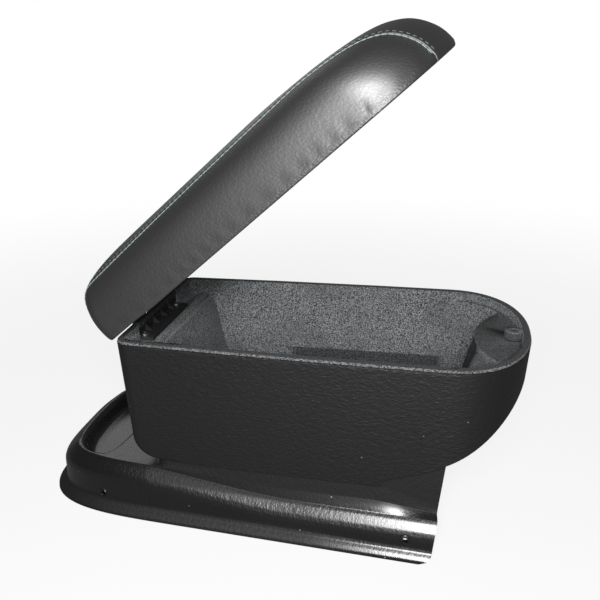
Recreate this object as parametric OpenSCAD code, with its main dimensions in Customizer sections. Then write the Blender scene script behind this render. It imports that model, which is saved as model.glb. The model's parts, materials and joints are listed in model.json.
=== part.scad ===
// Car centre armrest: a hollow saddle, a flocked storage box on it and a padded lid on a pin hinge.
// Units are millimetres, +Z is up, +X points to the rounded nose and the lid is drawn open.

/* [Box] */
// Length of the storage box at the rim
box_l = 298; // [240:1:340]
// Greatest width of the storage box at the rim
box_w = 164; // [130:1:190]
// Width of the storage box at its rear face
box_rear_w = 151; // [120:1:180]
// Height from the skirt edge to the rim
box_h = 99; // [80:1:130]
// Distance from the rear face to where the nose starts to close in
nose_start = 238; // [200:1:260]
// Wall of the moulded box shell
shell_t = 3; // [2:0.5:4]
// Narrowing of each side from rim to skirt edge
draft = 3.1; // [0:0.1:6]
// Radius of the rear upright corners
corner_r = 11; // [6:0.5:16]
// Radius under the rear face
rear_under_r = 16; // [8:1:24]
// Where the skirt edge steps up
step_x = 196; // [170:1:220]
// Height of the small step in the skirt edge
step_h = 6.4; // [2:0.2:10]
// Wall of the flocked liner
liner_t = 2; // [1.5:0.5:3]
// Height of the liner floor above the skirt edge
floor_h = 27; // [20:1:40]
// Depth of the nose platform below the rim
platform_drop = 8; // [4:0.5:16]
// Outside diameter of the tubular boss on the platform
boss_d = 13.6; // [10:0.2:18]
// Bore of the tubular boss
boss_bore_d = 6; // [4:0.2:8]

/* [Saddle] */
// Height of the skirt edge above the ground
base_h = 52; // [40:1:70]
// Rear end of the saddle behind the rear face of the box
saddle_rear = 88.4; // [60:0.2:110]
// Front cut of the saddle at the ground
saddle_front = 238; // [220:1:270]
// Lean of the front cut in degrees
cut_lean = 4.5; // [0:0.5:10]
// Half width of the saddle lip at the front cut
lip_half_w = 97.5; // [85:0.5:110]
// Widening of the half width for each millimetre of length
flare = 0.055; // [0:0.005:0.1]
// Sheet thickness of the saddle
sheet_t = 3; // [2:0.5:5]
// Height of the deck at the foot of the box
deck_z = 44.5; // [38:0.5:52]
// Drop of the deck foot at the front cut
toe_drop = 13; // [0:0.5:14]
// Height of the pedestal top above the skirt edge
plateau_h = 24; // [16:1:30]
// Depth of the half moon tray
tray_depth = 15; // [6:1:24]
// Diameter of the side screw holes
side_hole_d = 4.2; // [3:0.1:6]
// Height of the side screw holes
side_hole_z = 15.4; // [12:0.2:20]
// Place of the rear side screw holes
rear_hole_x = -26; // [-40:1:0]
// Place of the front side screw holes
front_hole_x = 218; // [190:1:230]

/* [Lid] */
// Opening angle of the lid as drawn
lid_angle = 40.3; // [0:0.1:95]
// Gap between the rim and the closed lid
lid_gap = 1.2; // [0.6:0.1:3]
// Overhang of the lid past the box sides
lid_side_over = 2; // [0:0.5:4]
// Overhang of the lid past the rear face
lid_rear_over = 2; // [0:0.5:6]
// Thickness of the sewn cover
cover_t = 1.8; // [1:0.1:3]
// Distance of the seams from the sides of the lid
seam_inset = 16; // [8:1:40]
// Distance of the seams from the sides at the nose
seam_nose_inset = 36; // [20:1:50]
// Thickness of the lid pan
pan_t = 2.5; // [2:0.5:4]
// Thickness of the lid core board
core_t = 4; // [3:0.5:8]

/* [Hinge] */
// Distance of the pin from the rear face
pin_x = 2.5; // [0:0.1:8]
// Depth of the pin below the rim
pin_drop = 2.5; // [0:0.1:8]
// Diameter of the hinge pin
pin_d = 3.2; // [2.5:0.1:5]
// Radial clearance of the pin in the knuckles
pin_fit = 0.05; // [0.02:0.01:0.1]
// Outside diameter of the knuckles
knuckle_d = 6.6; // [5:0.1:9]
// Half width of the box leaf
leaf_half_w = 38.7; // [30:0.1:50]
// Thickness of the leaves
leaf_t = 2.5; // [2:0.1:4]
// Depth of the box leaf below the rim
leaf_drop = 11.5; // [8:0.5:16]
// Distance of the front edge of the box leaf from the rear face
leaf_front = 15; // [12:0.5:24]
// Gap between neighbouring knuckles
knuckle_gap = 0.5; // [0.2:0.1:1]

/* [Hidden] */
$fn = 48;
rim_z = base_h + box_h;
nose_power = 2.23;
mid_x = (box_l - saddle_rear) / 2;
flange_t = 2;
fit = 0.3;
shell_top = rim_z - flange_t - fit;
saddle_top = base_h + plateau_h;
liner_floor = base_h + floor_h;
pin_z = rim_z - pin_drop;
lid_z = rim_z + lid_gap;
shelf_z = rim_z - leaf_drop - leaf_t - fit;
notch_half_w = leaf_half_w + 2.2;
bow_x = step_x + 5.5;
ped_inset = shell_t + draft + 1.4;
bolt_x = [62, 188];
bolt_y = 36;
bolt_d = 6;
plate_t = 2.5;
leaf_screw_x = 6.4;
leaf_screw_head_d = 5.8;
leaf_upright_t = 2.2;
leaf_screw_y = 34;
shelf_lip_w = 7.4;
shelf_lip_h = 3;

// Loft through rings of points, each ring counter-clockwise seen from above
module loft(rings) {
  n = len(rings[0]);
  m = len(rings);
  pts = [for (r = rings) for (p = r) p];
  low = [for (i = [0 : n - 1]) i];
  high = [for (i = [n - 1 : -1 : 0]) (m - 1) * n + i];
  side_a = [for (j = [0 : m - 2]) for (i = [0 : n - 1]) [j * n + i, (j + 1) * n + i, (j + 1) * n + (i + 1) % n]];
  side_b = [for (j = [0 : m - 2]) for (i = [0 : n - 1]) [j * n + i, (j + 1) * n + (i + 1) % n, j * n + (i + 1) % n]];
  polyhedron(points = pts, faces = concat([low], side_a, side_b, [high]), convexity = 8);
}

// Prism across the whole width from a side view polygon
module across(pts, w = 400) {
  rotate([90, 0, 0]) linear_extrude(height = w, center = true) polygon(pts);
}

function smooth(t) = t <= 0 ? 0 : t >= 1 ? 1 : t * t * (3 - 2 * t);

// Half outline of the box from the nose tip to the middle of the rear face, inset by d
function box_side(x) = box_w / 2 - (box_w - box_rear_w) / 2 * pow((nose_start - x) / nose_start, 2);
function box_nose(t, d) = [nose_start + (box_l - nose_start - d) * pow(cos(t), 2 / nose_power), (box_w / 2 - d) * pow(sin(t), 2 / nose_power)];
function box_straight(x, d) = [x, box_side(x) - d];
function box_corner(a, d, r) = [d + r - r * sin(a), box_side(d + r) - d - r + r * cos(a)];
function box_half(d) = let (r = max(corner_r - d, 2)) concat([for (t = [0 : 5 : 85]) box_nose(t, d)], [for (x = [nose_start : -30 : 30]) box_straight(x, d)], [for (a = [0 : 15 : 90]) box_corner(a, d, r)]);
function mirrored(h) = concat(h, [for (i = [len(h) - 1 : -1 : 1]) [h[i][0], -h[i][1]]]);
function at_z(pts, z) = [for (p = pts) [p[0], p[1], z]];
function box_ring(d, z) = at_z(mirrored(box_half(d)), z);
function box_draft(z) = draft * (rim_z - z) / box_h;

// Underside line of the skirt and of the bow in side view
function bow_z(x) = let (t = (x - bow_x) / (box_l - bow_x)) base_h + step_h + 33 * t + 35 * pow(t, 3);
function bow_line(x0, lift) = [for (x = [x0 : 6 : box_l + 3]) [x, bow_z(x) + lift]];
function step_line() = [for (s = [0 : 0.2 : 1]) [step_x + 5.5 * s, base_h + step_h * smooth(s)]];
function rear_arc(r, x, z) = [for (a = [0 : 10 : 90]) [x + r - r * cos(a), z + r - r * sin(a)]];

function skirt_profile(top) = concat([[0, top]], rear_arc(rear_under_r, 0, base_h), step_line(), bow_line(bow_x + 6, 0), [[box_l + 9, top]]);
function hollow_profile(top) = concat([[shell_t, top]], rear_arc(rear_under_r - shell_t, shell_t, base_h + shell_t), [[rear_under_r + 0.2, base_h + shell_t], [rear_under_r + 0.2, base_h - 5], [saddle_front + 10, base_h - 5]], bow_line(saddle_front + 10, shell_t), [[box_l + 9, top]]);

// Outer form of the saddle, shrunk by t all round
function lip_w(x) = lip_half_w - flare * (saddle_front - 5 - x);
rear_c = 40;
rear_a = saddle_rear + rear_c;
rear_p = 3.7;
ped_back = 21.5;
function saddle_rear_pt(f) = let (x = rear_c - rear_a * pow(abs(sin(f)), 2 / rear_p)) [x, lip_w(x) * pow(abs(cos(f)), 2 / rear_p)];
rear_angles = [4, 9, 15, 22, 29, 36, 43, 50, 57, 64, 71, 77, 82, 86];
front_xs = [saddle_front + 30, 230, 210, 190, 160, 130, 100, 70, 50];
function saddle_half() = concat([for (x = front_xs) [x, lip_w(x)]], [for (f = rear_angles) saddle_rear_pt(f)], [[-saddle_rear, 0]]);
function ped_w(x) = box_side(min(x, nose_start)) - ped_inset;
function ped_rear_pt(f) = let (x = rear_c - ped_back * pow(abs(sin(f)), 2 / 6)) [x, ped_w(x) * pow(abs(cos(f)), 2 / 6)];
function ped_half() = concat([for (x = front_xs) [x, ped_w(x)]], [for (f = rear_angles) ped_rear_pt(f)], [[rear_c - ped_back, 0]]);
lip_pts = mirrored_open(saddle_half());
ped_pts = mirrored_open(ped_half());
function mirrored_open(h) = concat(h, [for (i = [len(h) - 2 : -1 : 0]) [h[i][0], -h[i][1]]]);
function heading(pts, i) = let (a = pts[max(i - 1, 0)], b = pts[min(i + 1, len(pts) - 1)], v = b - a) v / norm(v);
function outward(pts, i) = let (v = heading(pts, i)) [v[1], -v[0]];
function toe_z(x) = deck_z - toe_drop * smooth((x - 188) / 60);
function shoulder_z(x) = deck_z - 1.5 - 7 * smooth((x + 30) / 150) - 7 * smooth((x - 130) / 120);
function lip_ring(a, b, t, zf) = [for (i = [0 : len(lip_pts) - 1]) let (n = outward(lip_pts, i), q = lip_pts[i] - n * (a + t + b * pow(max(0, -n[0]), 2))) [q[0], q[1], zf(lip_pts[i][0])]];
function ped_ring(a, t, zf) = [for (i = [0 : len(ped_pts) - 1]) let (n = outward(ped_pts, i), q = ped_pts[i] + n * (a - t)) [q[0], q[1], zf(ped_pts[i][0])]];

module saddle_form(t) {
  bottom = t > 0 ? -1 : 0;
  loft([
    lip_ring(0, 0, t, function(x) bottom),
    lip_ring(0.4, 0, t, function(x) 2.4),
    lip_ring(2.4, 0.6, t, function(x) 4.8),
    lip_ring(4.9, 1.6, t, function(x) 7),
    lip_ring(6, 3, t, function(x) 9.4),
    lip_ring(6.7, 6.6, t, function(x) shoulder_z(x) - 8 - t * 0.6),
    lip_ring(7.4, 7.8, t, function(x) shoulder_z(x) - 4.4 - t * 0.8),
    lip_ring(9.2, 9, t, function(x) shoulder_z(x) - 1.4 - t),
    lip_ring(12, 10.6, t, function(x) shoulder_z(x) - t),
    ped_ring(5.4, t, function(x) toe_z(x) + 0.2 - t),
    ped_ring(3, t, function(x) toe_z(x) + 0.9 - t * 0.8),
    ped_ring(1.5, t, function(x) toe_z(x) + 2.6 - t * 0.5),
    ped_ring(0.9, t, function(x) toe_z(x) + 5 - t * 0.3),
    ped_ring(0, t, function(x) saddle_top - 2 - t),
    ped_ring(-0.6, t, function(x) saddle_top - 0.6 - t),
    ped_ring(-2, t, function(x) saddle_top - t)
  ]);
}

// Side view of what the front cut leaves, with its rounded lower corner
module front_keep() {
  r = 9;
  lean_x = 100 * tan(cut_lean);
  across(concat([[-120, -2], [saddle_front - r, -2]], [for (a = [0 : 10 : 90]) [saddle_front - r + r * sin(a), r - r * cos(a)]], [[saddle_front + lean_x, 100 + r], [-120, 100 + r]]));
}

// Half moon outline of the tray, shrunk by d
tray_c = -31;
function tray_pt(f, d) = let (a = cos(f) > 0 ? 9.6 - d : 29 - d) [tray_c + a * sign(cos(f)) * pow(abs(cos(f)), 0.8), (64 - d) * sign(sin(f)) * pow(abs(sin(f)), 0.8)];
function tray_ring(d, z) = [for (f = [0 : 7.5 : 352.5]) let (p = tray_pt(f, d)) [p[0], p[1], z]];

module tray_form(t) {
  z0 = deck_z - tray_depth;
  loft([tray_ring(6 - t, z0 - t), tray_ring(3.4 - t, z0 + 1 - t), tray_ring(1.8 - t, z0 + 3.6 - t), tray_ring(1 - t, deck_z - 3), tray_ring(0.6 - t, deck_z - (t > 0 ? 1.6 : 2)), tray_ring(-1.2 - t, deck_z + (t > 0 ? -1.2 : 0.6)), tray_ring(-2.4 - t, deck_z + (t > 0 ? -1 : 8))]);
}

function wall_y(x) = lip_w(x) * (x > rear_c ? 1 : pow(1 - pow((rear_c - x) / rear_a, rear_p), 1 / rear_p)) - 6.4;

module side_holes(d, y0, y1) {
  for (x = [rear_hole_x, front_hole_x])
    for (s = [-1, 1])
      translate([x, s * (wall_y(x) + y0), side_hole_z])
        rotate([-s * 90, 0, 0])
          cylinder(d = d, h = y1 - y0);
}

module bolt_spots(z) {
  for (x = bolt_x)
    for (s = [-1, 1])
      translate([x, s * bolt_y, z])
        children();
}

// The free-form sheet, kept as plain facets
module formed_sheet() {
  resize([0, 0, 0])
    intersection() {
      difference() {
        union() {
          difference() {
            saddle_form(0);
            saddle_form(sheet_t);
          }
          tray_form(sheet_t);
        }
        tray_form(0);
      }
      front_keep();
    }
}

module console_saddle() {
  color([0.13, 0.13, 0.13])
    difference() {
      union() {
        formed_sheet();
        side_holes(9, -3.6, 0.9);
      }
      side_holes(side_hole_d, -12, 6);
      bolt_spots(saddle_top - 10) cylinder(d = bolt_d + 0.6, h = 20);
    }
}

module box_body(d, top) {
  loft([box_ring(d + box_draft(base_h - 6), base_h - 6), box_ring(d + box_draft(top), top)]);
}

module rear_notch(z) {
  translate([-20, -notch_half_w, z]) cube([20 + leaf_front + 0.8, 2 * notch_half_w, 40]);
}

module box_shell() {
  color([0.17, 0.17, 0.17])
    difference() {
      intersection() {
        box_body(0, shell_top);
        across(skirt_profile(rim_z + 5));
      }
      intersection() {
        box_body(shell_t, shell_top + 1);
        across(hollow_profile(rim_z + 5));
      }
      rear_notch(shelf_z - liner_t - fit);
    }
}

// Inside of the liner, grown by t for the outer face
module tub_form(t, top) {
  d0 = shell_t + fit + liner_t;
  f = liner_floor;
  loft([
    box_ring_cut(d0 + 15 - t, 52 - t, 236 + t, f - t),
    box_ring_cut(d0 + 11 - t, 47 - t, 240 + t, f + 1 - t),
    box_ring_cut(d0 + 8 - t, 43 - t, 243 + t, f + 4 - t),
    box_ring_cut(d0 + 6.2 - t, 40 - t, 246 + t, f + 9 - t),
    box_ring_cut(d0 + 2 - t, 31 - t, 254 + t, shelf_z - 10 - t),
    box_ring_cut(d0 + 1.2 - t, 29 - t, 256 + t, shelf_z - 5 - t),
    box_ring_cut(d0 + 0.6 - t, 27 - t, 257.5 + t, shelf_z - 2 - t),
    box_ring_cut(d0 + 0.6 - t, 24 - t, 257.5 + t, top)
  ]);
}
module above_bow(gap) {
  across(concat([[-50, base_h], [240, base_h]], bow_line(240, gap), [[box_l + 9, rim_z + 9], [-50, rim_z + 9]]));
}
function clamp_x(x, a, b) = min(max(x, a), b);
function platform_x(y, front) = front + 0.0078 * y * y;
function box_ring_cut(d, rear, front, z) = [for (p = mirrored(box_half(d))) let (w = box_w / 2 - d, x = clamp_x(p[0], rear, platform_x(p[1], front))) [x, p[1], z]];

module shelf_pocket() {
  d0 = shell_t + fit + liner_t;
  intersection() {
    loft([box_ring(d0 + 0.6, shelf_z), box_ring(d0, rim_z + 3)]);
    translate([-10, -100, shelf_z]) cube([40, 200, 60]);
  }
}

// Rounded flocked lip in front of the box leaf
module shelf_lip() {
  c = leaf_front + 1.2 + shelf_lip_w / 2;
  across(concat([for (a = [0 : 15 : 180]) [c + shelf_lip_w / 2 * cos(a), shelf_z + shelf_lip_h * pow(sin(a), 0.8)]], [[c - shelf_lip_w / 2, shelf_z - 1], [c + shelf_lip_w / 2, shelf_z - 1]]), box_rear_w - 2 * (shell_t + 3));
}

module nose_pocket() {
  d0 = shell_t + fit + liner_t;
  intersection() {
    loft([box_ring(d0 + 0.6, rim_z - platform_drop), box_ring(d0, rim_z + 3)]);
    translate([246, -100, rim_z - platform_drop]) cube([80, 200, 60]);
  }
}

module flocked_liner() {
  d1 = shell_t + fit;
  color([0.4, 0.4, 0.42])
    difference() {
      union() {
        difference() {
          union() {
            loft([box_ring(0.5, rim_z - flange_t), box_ring(0.5, rim_z - 0.8), box_ring(1.3, rim_z)]);
            intersection() {
              tub_form(liner_t, rim_z - 0.5);
              above_bow(shell_t + fit);
            }
            intersection() {
              loft([box_ring(d1 + box_draft(shelf_z - liner_t), shelf_z - liner_t), box_ring(d1, rim_z - 0.5)]);
              translate([-10, -100, shelf_z - liner_t]) cube([44, 200, 60]);
            }
            intersection() {
              loft([box_ring(d1 + 0.5, rim_z - platform_drop - liner_t), box_ring(d1, rim_z - 0.5)]);
              translate([246, -100, rim_z - platform_drop - liner_t]) cube([80, 200, 60]);
            }
          }
          intersection() {
            tub_form(0, rim_z + 1);
            above_bow(shell_t + fit + liner_t);
          }
          shelf_pocket();
          nose_pocket();
        }
        shelf_lip();
        translate([box_l - 11.8, 0, rim_z - platform_drop - 1]) cylinder(d = boss_d, h = platform_drop - 0.6);
      }
      translate([box_l - 11.8, 0, rim_z - platform_drop - 12]) cylinder(d = boss_bore_d, h = 30);
      rear_notch(shelf_z);
      for (s = [-1, 1])
        translate([leaf_screw_x, s * leaf_screw_y, shelf_z - 20]) cylinder(d = 3.4, h = 40);
      bolt_spots(liner_floor - 10) cylinder(d = bolt_d + 0.6, h = 20);
    }
}

module mounting_plate() {
  color([0.55, 0.56, 0.58])
    difference() {
      translate([bolt_x[0] - 22, -bolt_y - 20, saddle_top - sheet_t - fit - plate_t]) cube([bolt_x[1] - bolt_x[0] + 44, 2 * bolt_y + 40, plate_t]);
      bolt_spots(saddle_top - 20) cylinder(d = bolt_d + 0.6, h = 30);
      translate([(bolt_x[0] + bolt_x[1]) / 2, 0, saddle_top - 20]) cylinder(d = 50, h = 30);
    }
}

module box_bolts() {
  color([0.6, 0.6, 0.62])
    bolt_spots(0) {
      difference() {
        translate([0, 0, liner_floor + 1.6 + fit]) cylinder(d = 10.4, h = 5.4, $fn = 48);
        translate([0, 0, liner_floor + 1.6 + fit + 2.4]) cylinder(d = 5.8, h = 6, $fn = 6);
      }
      translate([0, 0, saddle_top - 14.6]) cylinder(d = bolt_d, h = liner_floor + 2 - saddle_top + 14.6);
    }
}

module bolt_washers() {
  color([0.66, 0.66, 0.68])
    bolt_spots(liner_floor + 0.1)
      difference() {
        cylinder(d = 15, h = 1.6);
        translate([0, 0, -1]) cylinder(d = bolt_d + 0.4, h = 4);
      }
}

module bolt_nuts() {
  color([0.6, 0.6, 0.62])
    bolt_spots(saddle_top - sheet_t - 2 * fit - plate_t - 5.2)
      difference() {
        cylinder(d = 11.5, h = 5.2, $fn = 6);
        translate([0, 0, -1]) cylinder(d = bolt_d + 0.1, h = 8);
      }
}

box_knuckles = [[-leaf_half_w, -26], [-9.5, 9.5], [26, leaf_half_w]];
lid_knuckles = [[-26 + knuckle_gap, -9.5 - knuckle_gap], [9.5 + knuckle_gap, 26 - knuckle_gap]];

module along_pin(y0, y1, d) {
  translate([pin_x, y1, pin_z]) rotate([90, 0, 0]) cylinder(d = d, h = y1 - y0);
}

module rib(y) {
  top = rim_z - leaf_drop;
  translate([0, y + 0.8, 0]) rotate([90, 0, 0]) linear_extrude(height = 1.6) polygon([[leaf_upright_t + 0.6, top - 0.5], [9.2, top - 0.5], [leaf_upright_t + 0.6, top + 5.6]]);
}

module hinge_box_leaf() {
  top = rim_z - leaf_drop;
  color([0.12, 0.12, 0.12])
    difference() {
      union() {
        translate([1, -leaf_half_w, top - leaf_t]) cube([leaf_front - 1, 2 * leaf_half_w, leaf_t]);
        translate([1, -leaf_half_w, top - leaf_t]) cube([leaf_upright_t, 2 * leaf_half_w, leaf_t + 4.6]);
        for (k = box_knuckles)
          along_pin(k[0], k[1], knuckle_d);
        for (k = box_knuckles)
          translate([1, k[0], top]) cube([leaf_upright_t, k[1] - k[0], pin_z - top]);
        for (y = [-24, -8, 8, 24])
          rib(y);
      }
      along_pin(-leaf_half_w - 5, leaf_half_w + 5, pin_d + 2 * pin_fit);
      for (s = [-1, 1])
        translate([leaf_screw_x, s * leaf_screw_y, top - 10]) cylinder(d = 3.4, h = 20);
      translate([-2, 4, top + 3]) rotate([0, 90, 0]) cylinder(d = 3, h = 12);
    }
}

module hinge_pin() {
  color([0.7, 0.7, 0.72]) along_pin(-leaf_half_w - 1.6, leaf_half_w + 1.6, pin_d);
}

module box_leaf_screws() {
  top = rim_z - leaf_drop;
  color([0.55, 0.55, 0.57])
    for (s = [-1, 1])
      translate([leaf_screw_x, s * leaf_screw_y, top + 0.05]) {
        difference() {
          union() {
            cylinder(d = leaf_screw_head_d, h = 0.8);
            intersection() {
              cylinder(d = leaf_screw_head_d - 0.4, h = 2.4);
              translate([0, 0, -1.6]) sphere(r = 3.9);
            }
          }
          translate([0, 0, 1.2]) cylinder(d = 2.4, h = 3, $fn = 6);
        }
        translate([0, 0, -10]) cylinder(d = 3, h = 10.4);
      }
}

module lid_place() {
  translate([pin_x, 0, pin_z]) rotate([0, -lid_angle, 0]) translate([-pin_x, 0, -pin_z]) children();
}

lid_screw_spots = [[12, -30], [12, -12], [12, 12], [12, 30]];

module hinge_lid_leaf() {
  color([0.12, 0.12, 0.12])
    lid_place()
      difference() {
        union() {
          translate([pin_x - 2.4, -leaf_half_w, lid_z]) cube([19.4, 2 * leaf_half_w, leaf_t]);
          for (k = lid_knuckles) {
            along_pin(k[0], k[1], knuckle_d);
            translate([pin_x - 2.4, k[0], pin_z]) cube([4.8, k[1] - k[0], lid_z - pin_z + 1]);
          }
        }
        along_pin(-leaf_half_w, leaf_half_w, pin_d + 2 * pin_fit);
        for (p = lid_screw_spots)
          translate([p[0], p[1], lid_z - 5]) cylinder(d = 3.4, h = 20);
      }
}

module small_screw(l) {
  difference() {
    cylinder(d = 5.6, h = 1.4);
    translate([0, 0, -1]) cylinder(d = 2.2, h = 1.8, $fn = 6);
  }
  translate([0, 0, 1]) cylinder(d = 3, h = l);
}

module lid_leaf_screws() {
  color([0.55, 0.55, 0.57])
    lid_place()
      for (p = lid_screw_spots)
        translate([p[0], p[1], lid_z - 1.45]) small_screw(pan_t + core_t);
}

// Rings of the padded lid: height, side inset, nose inset, rear inset
lid_nose = box_l + 2;
lid_rings = [[0, 1.2, 1.2, 1.2], [1.2, 0.4, 0.4, 0.4], [3, 0, 0, 0], [12, -0.3, 1.7, -0.3], [19, 0.3, 5, 0.6], [25, 1.6, 9, 1.9], [30.5, 3.9, 14, 3.8], [35.2, 7.4, 21, 6.2], [39, 12, 29, 9.2], [42, 18.5, 41, 13.5], [44.6, 27, 60, 19], [46.6, 38, 88, 27], [48.2, 52, 120, 40], [49, 68, 150, 64]];
lid_base = mirrored(box_half(0));
function lid_scale_x(x, f, r) = -lid_rear_over + r + x * (lid_nose + lid_rear_over - f - r) / box_l;
function lid_scale_y(y, s) = y * (box_w / 2 + lid_side_over - s) / (box_w / 2);
function lid_ring(k, t, z) = [for (p = lid_base) [lid_scale_x(p[0], k[2] + t, k[3] + t), lid_scale_y(p[1], k[1] + t), z]];

function ring_from(low) = [for (k = lid_rings) if (k[0] >= low) k][0];

module lid_form(t, low) {
  first = ring_from(low);
  loft([for (i = [0 : len(lid_rings) - 1]) let (k = lid_rings[i][0] < low ? first : lid_rings[i], z = lid_rings[i][0] < low ? 0 : k[0] - (k[0] > 20 ? t : 0)) lid_ring(k, t, lid_z + max(z, low + 0.02 * i))]);
}

module lid_slab(d, z0, z1) {
  loft([lid_ring([0, d, d, d], 0, lid_z + z0), lid_ring([0, d, d, d], 0, lid_z + z1)]);
}

module cover() {
  difference() {
    lid_form(0, 0);
    lid_form(cover_t, cover_t);
    lid_slab(7, -5, 10);
    lid_leaf_pocket();
  }
}

// Room for the lid leaf in the hem of the cover and in the pan
module lid_leaf_pocket() {
  translate([pin_x - 2.7, -leaf_half_w - fit, lid_z - 1]) cube([20, 2 * leaf_half_w + 2 * fit, 1 + leaf_t + fit]);
}

seam_turn_x = nose_start - 13;
seam_end_x = box_l + 5;
function seam_y(x) = box_w / 2 - seam_inset - (seam_nose_inset - seam_inset) * smooth((x - seam_turn_x) / (seam_end_x - seam_turn_x));
module centre_keep(g) {
  side = concat([[-20, seam_y(-20) + g]], [for (x = [seam_turn_x : 6 : box_l + 26]) [x, seam_y(x) + g]]);
  linear_extrude(height = 400) polygon(concat(side, [for (i = [len(side) - 1 : -1 : 0]) [side[i][0], -side[i][1]]]));
}

module lid_top_panel() {
  color([0.25, 0.25, 0.25])
    lid_place()
      intersection() {
        cover();
        centre_keep(0);
      }
}

module side_panel(s) {
  color([0.25, 0.25, 0.25])
    lid_place()
      difference() {
        intersection() {
          cover();
          translate([-50, s > 0 ? 0 : -200, 0]) cube([400, 200, 400]);
        }
        centre_keep(0.3);
      }
}

module lid_side_panel_near() {
  side_panel(-1);
}

module lid_side_panel_far() {
  side_panel(1);
}

module lid_foam() {
  color([0.75, 0.72, 0.5])
    lid_place()
      lid_form(cover_t + 0.5, pan_t + core_t + 2 * fit);
}

pan_screw_inset = 20;
function pan_screw_y(x) = box_side(min(x, nose_start)) - pan_screw_inset - (x > nose_start ? 5 : 0);
pan_screw_xs = [40, box_l * 0.37, box_l * 0.6, nose_start + 7];
pan_screw_spots = [for (x = pan_screw_xs) for (s = [-1, 1]) [x, s * pan_screw_y(x)]];

module lid_core() {
  z0 = pan_t + fit;
  color([0.2, 0.2, 0.2])
    lid_place()
      difference() {
        lid_slab(cover_t + 0.8, z0, z0 + core_t);
        for (p = concat(pan_screw_spots, lid_screw_spots))
          translate([p[0], p[1], lid_z]) cylinder(d = 3.1, h = 30);
        for (x = [70, 130, 190])
          translate([x * box_l / 298, 0, lid_z]) cylinder(d = 34, h = 30);
      }
}

module lid_pan() {
  color([0.15, 0.15, 0.15])
    lid_place()
      difference() {
        lid_slab(7.5, 0, pan_t);
        lid_leaf_pocket();
        for (p = pan_screw_spots)
          translate([p[0], p[1], lid_z - 5]) {
            cylinder(d = 3.4, h = 30);
            cylinder(d = 6.2, h = 6.6);
          }
      }
}

module pan_screws() {
  color([0.55, 0.55, 0.57])
    lid_place()
      for (p = pan_screw_spots)
        translate([p[0], p[1], lid_z + 0.15]) small_screw(pan_t + 2.4);
}

module pin_clips() {
  color([0.6, 0.6, 0.62])
    for (s = [-1, 1])
      difference() {
        along_pin(s * (leaf_half_w + 0.75) - 0.35, s * (leaf_half_w + 0.75) + 0.35, 5.8);
        along_pin(s * (leaf_half_w + 0.75) - 2, s * (leaf_half_w + 0.75) + 2, pin_d + 0.04);
      }
}

module placed() {
  translate([-mid_x, 0, 0]) children();
}

placed() console_saddle();
placed() box_shell();
placed() flocked_liner();
placed() mounting_plate();
placed() box_bolts();
placed() bolt_washers();
placed() bolt_nuts();
placed() hinge_box_leaf();
placed() hinge_lid_leaf();
placed() hinge_pin();
placed() box_leaf_screws();
placed() lid_leaf_screws();
placed() lid_pan();
placed() lid_core();
placed() lid_foam();
placed() lid_top_panel();
placed() lid_side_panel_near();
placed() lid_side_panel_far();
placed() pan_screws();
placed() pin_clips();
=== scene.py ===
"""Looks of a car centre armrest: a formed saddle, a flocked storage box and a padded, sewn lid."""
import json
import logging
import math
from contextlib import contextmanager
from dataclasses import dataclass, field
from enum import Enum
from typing import Callable, Iterator, Optional, Sequence, Union

import bmesh
import bpy
import numpy as np
from mathutils import Matrix, Vector
from mathutils.bvhtree import BVHTree

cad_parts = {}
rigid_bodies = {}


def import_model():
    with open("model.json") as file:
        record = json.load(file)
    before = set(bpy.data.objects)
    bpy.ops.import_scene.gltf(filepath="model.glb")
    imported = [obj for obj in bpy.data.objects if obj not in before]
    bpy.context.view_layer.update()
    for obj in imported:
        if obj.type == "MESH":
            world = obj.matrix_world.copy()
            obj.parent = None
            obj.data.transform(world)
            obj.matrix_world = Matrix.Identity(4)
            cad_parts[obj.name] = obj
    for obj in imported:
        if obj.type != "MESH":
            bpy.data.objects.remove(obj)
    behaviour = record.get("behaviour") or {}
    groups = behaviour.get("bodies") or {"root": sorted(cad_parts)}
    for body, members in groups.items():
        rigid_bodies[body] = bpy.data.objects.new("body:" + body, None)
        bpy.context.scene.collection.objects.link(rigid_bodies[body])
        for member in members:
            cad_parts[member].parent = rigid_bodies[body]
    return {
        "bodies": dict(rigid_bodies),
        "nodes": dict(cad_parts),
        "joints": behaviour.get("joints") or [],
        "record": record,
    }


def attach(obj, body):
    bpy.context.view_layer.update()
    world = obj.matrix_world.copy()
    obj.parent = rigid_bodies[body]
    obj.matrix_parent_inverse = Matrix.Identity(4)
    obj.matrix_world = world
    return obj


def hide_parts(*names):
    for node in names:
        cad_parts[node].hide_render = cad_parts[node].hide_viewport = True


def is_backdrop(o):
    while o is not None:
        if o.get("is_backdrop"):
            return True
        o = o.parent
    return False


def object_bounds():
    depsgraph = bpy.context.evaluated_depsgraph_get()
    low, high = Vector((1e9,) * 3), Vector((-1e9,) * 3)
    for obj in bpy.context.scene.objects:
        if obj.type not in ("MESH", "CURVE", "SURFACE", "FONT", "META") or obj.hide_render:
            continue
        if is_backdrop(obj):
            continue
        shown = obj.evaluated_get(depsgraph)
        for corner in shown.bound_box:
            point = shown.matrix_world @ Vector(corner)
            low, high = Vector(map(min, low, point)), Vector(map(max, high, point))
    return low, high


LOG = logging.getLogger("armrest")
MM = 0.001
WELD = 0.00002
FULL_TURN = 2 * math.pi
Number = Union[float, "Signal"]


class Slot(Enum):
    """Material slots of the record that the pieces take their finish from."""

    SADDLE = "abs_grained"
    SKIN = "skin_grained"
    FLOCK = "flock"
    PLASTIC = "black_plastic"
    PLATE = "steel_plate"
    PIN = "steel_pin"
    ZINC = "zinc"
    BOARD = "core_board"
    FOAM = "foam"
    LEATHER = "leather_cover"


class Body(Enum):
    """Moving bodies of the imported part."""

    CONSOLE = "console"
    LID = "lid"


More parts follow.
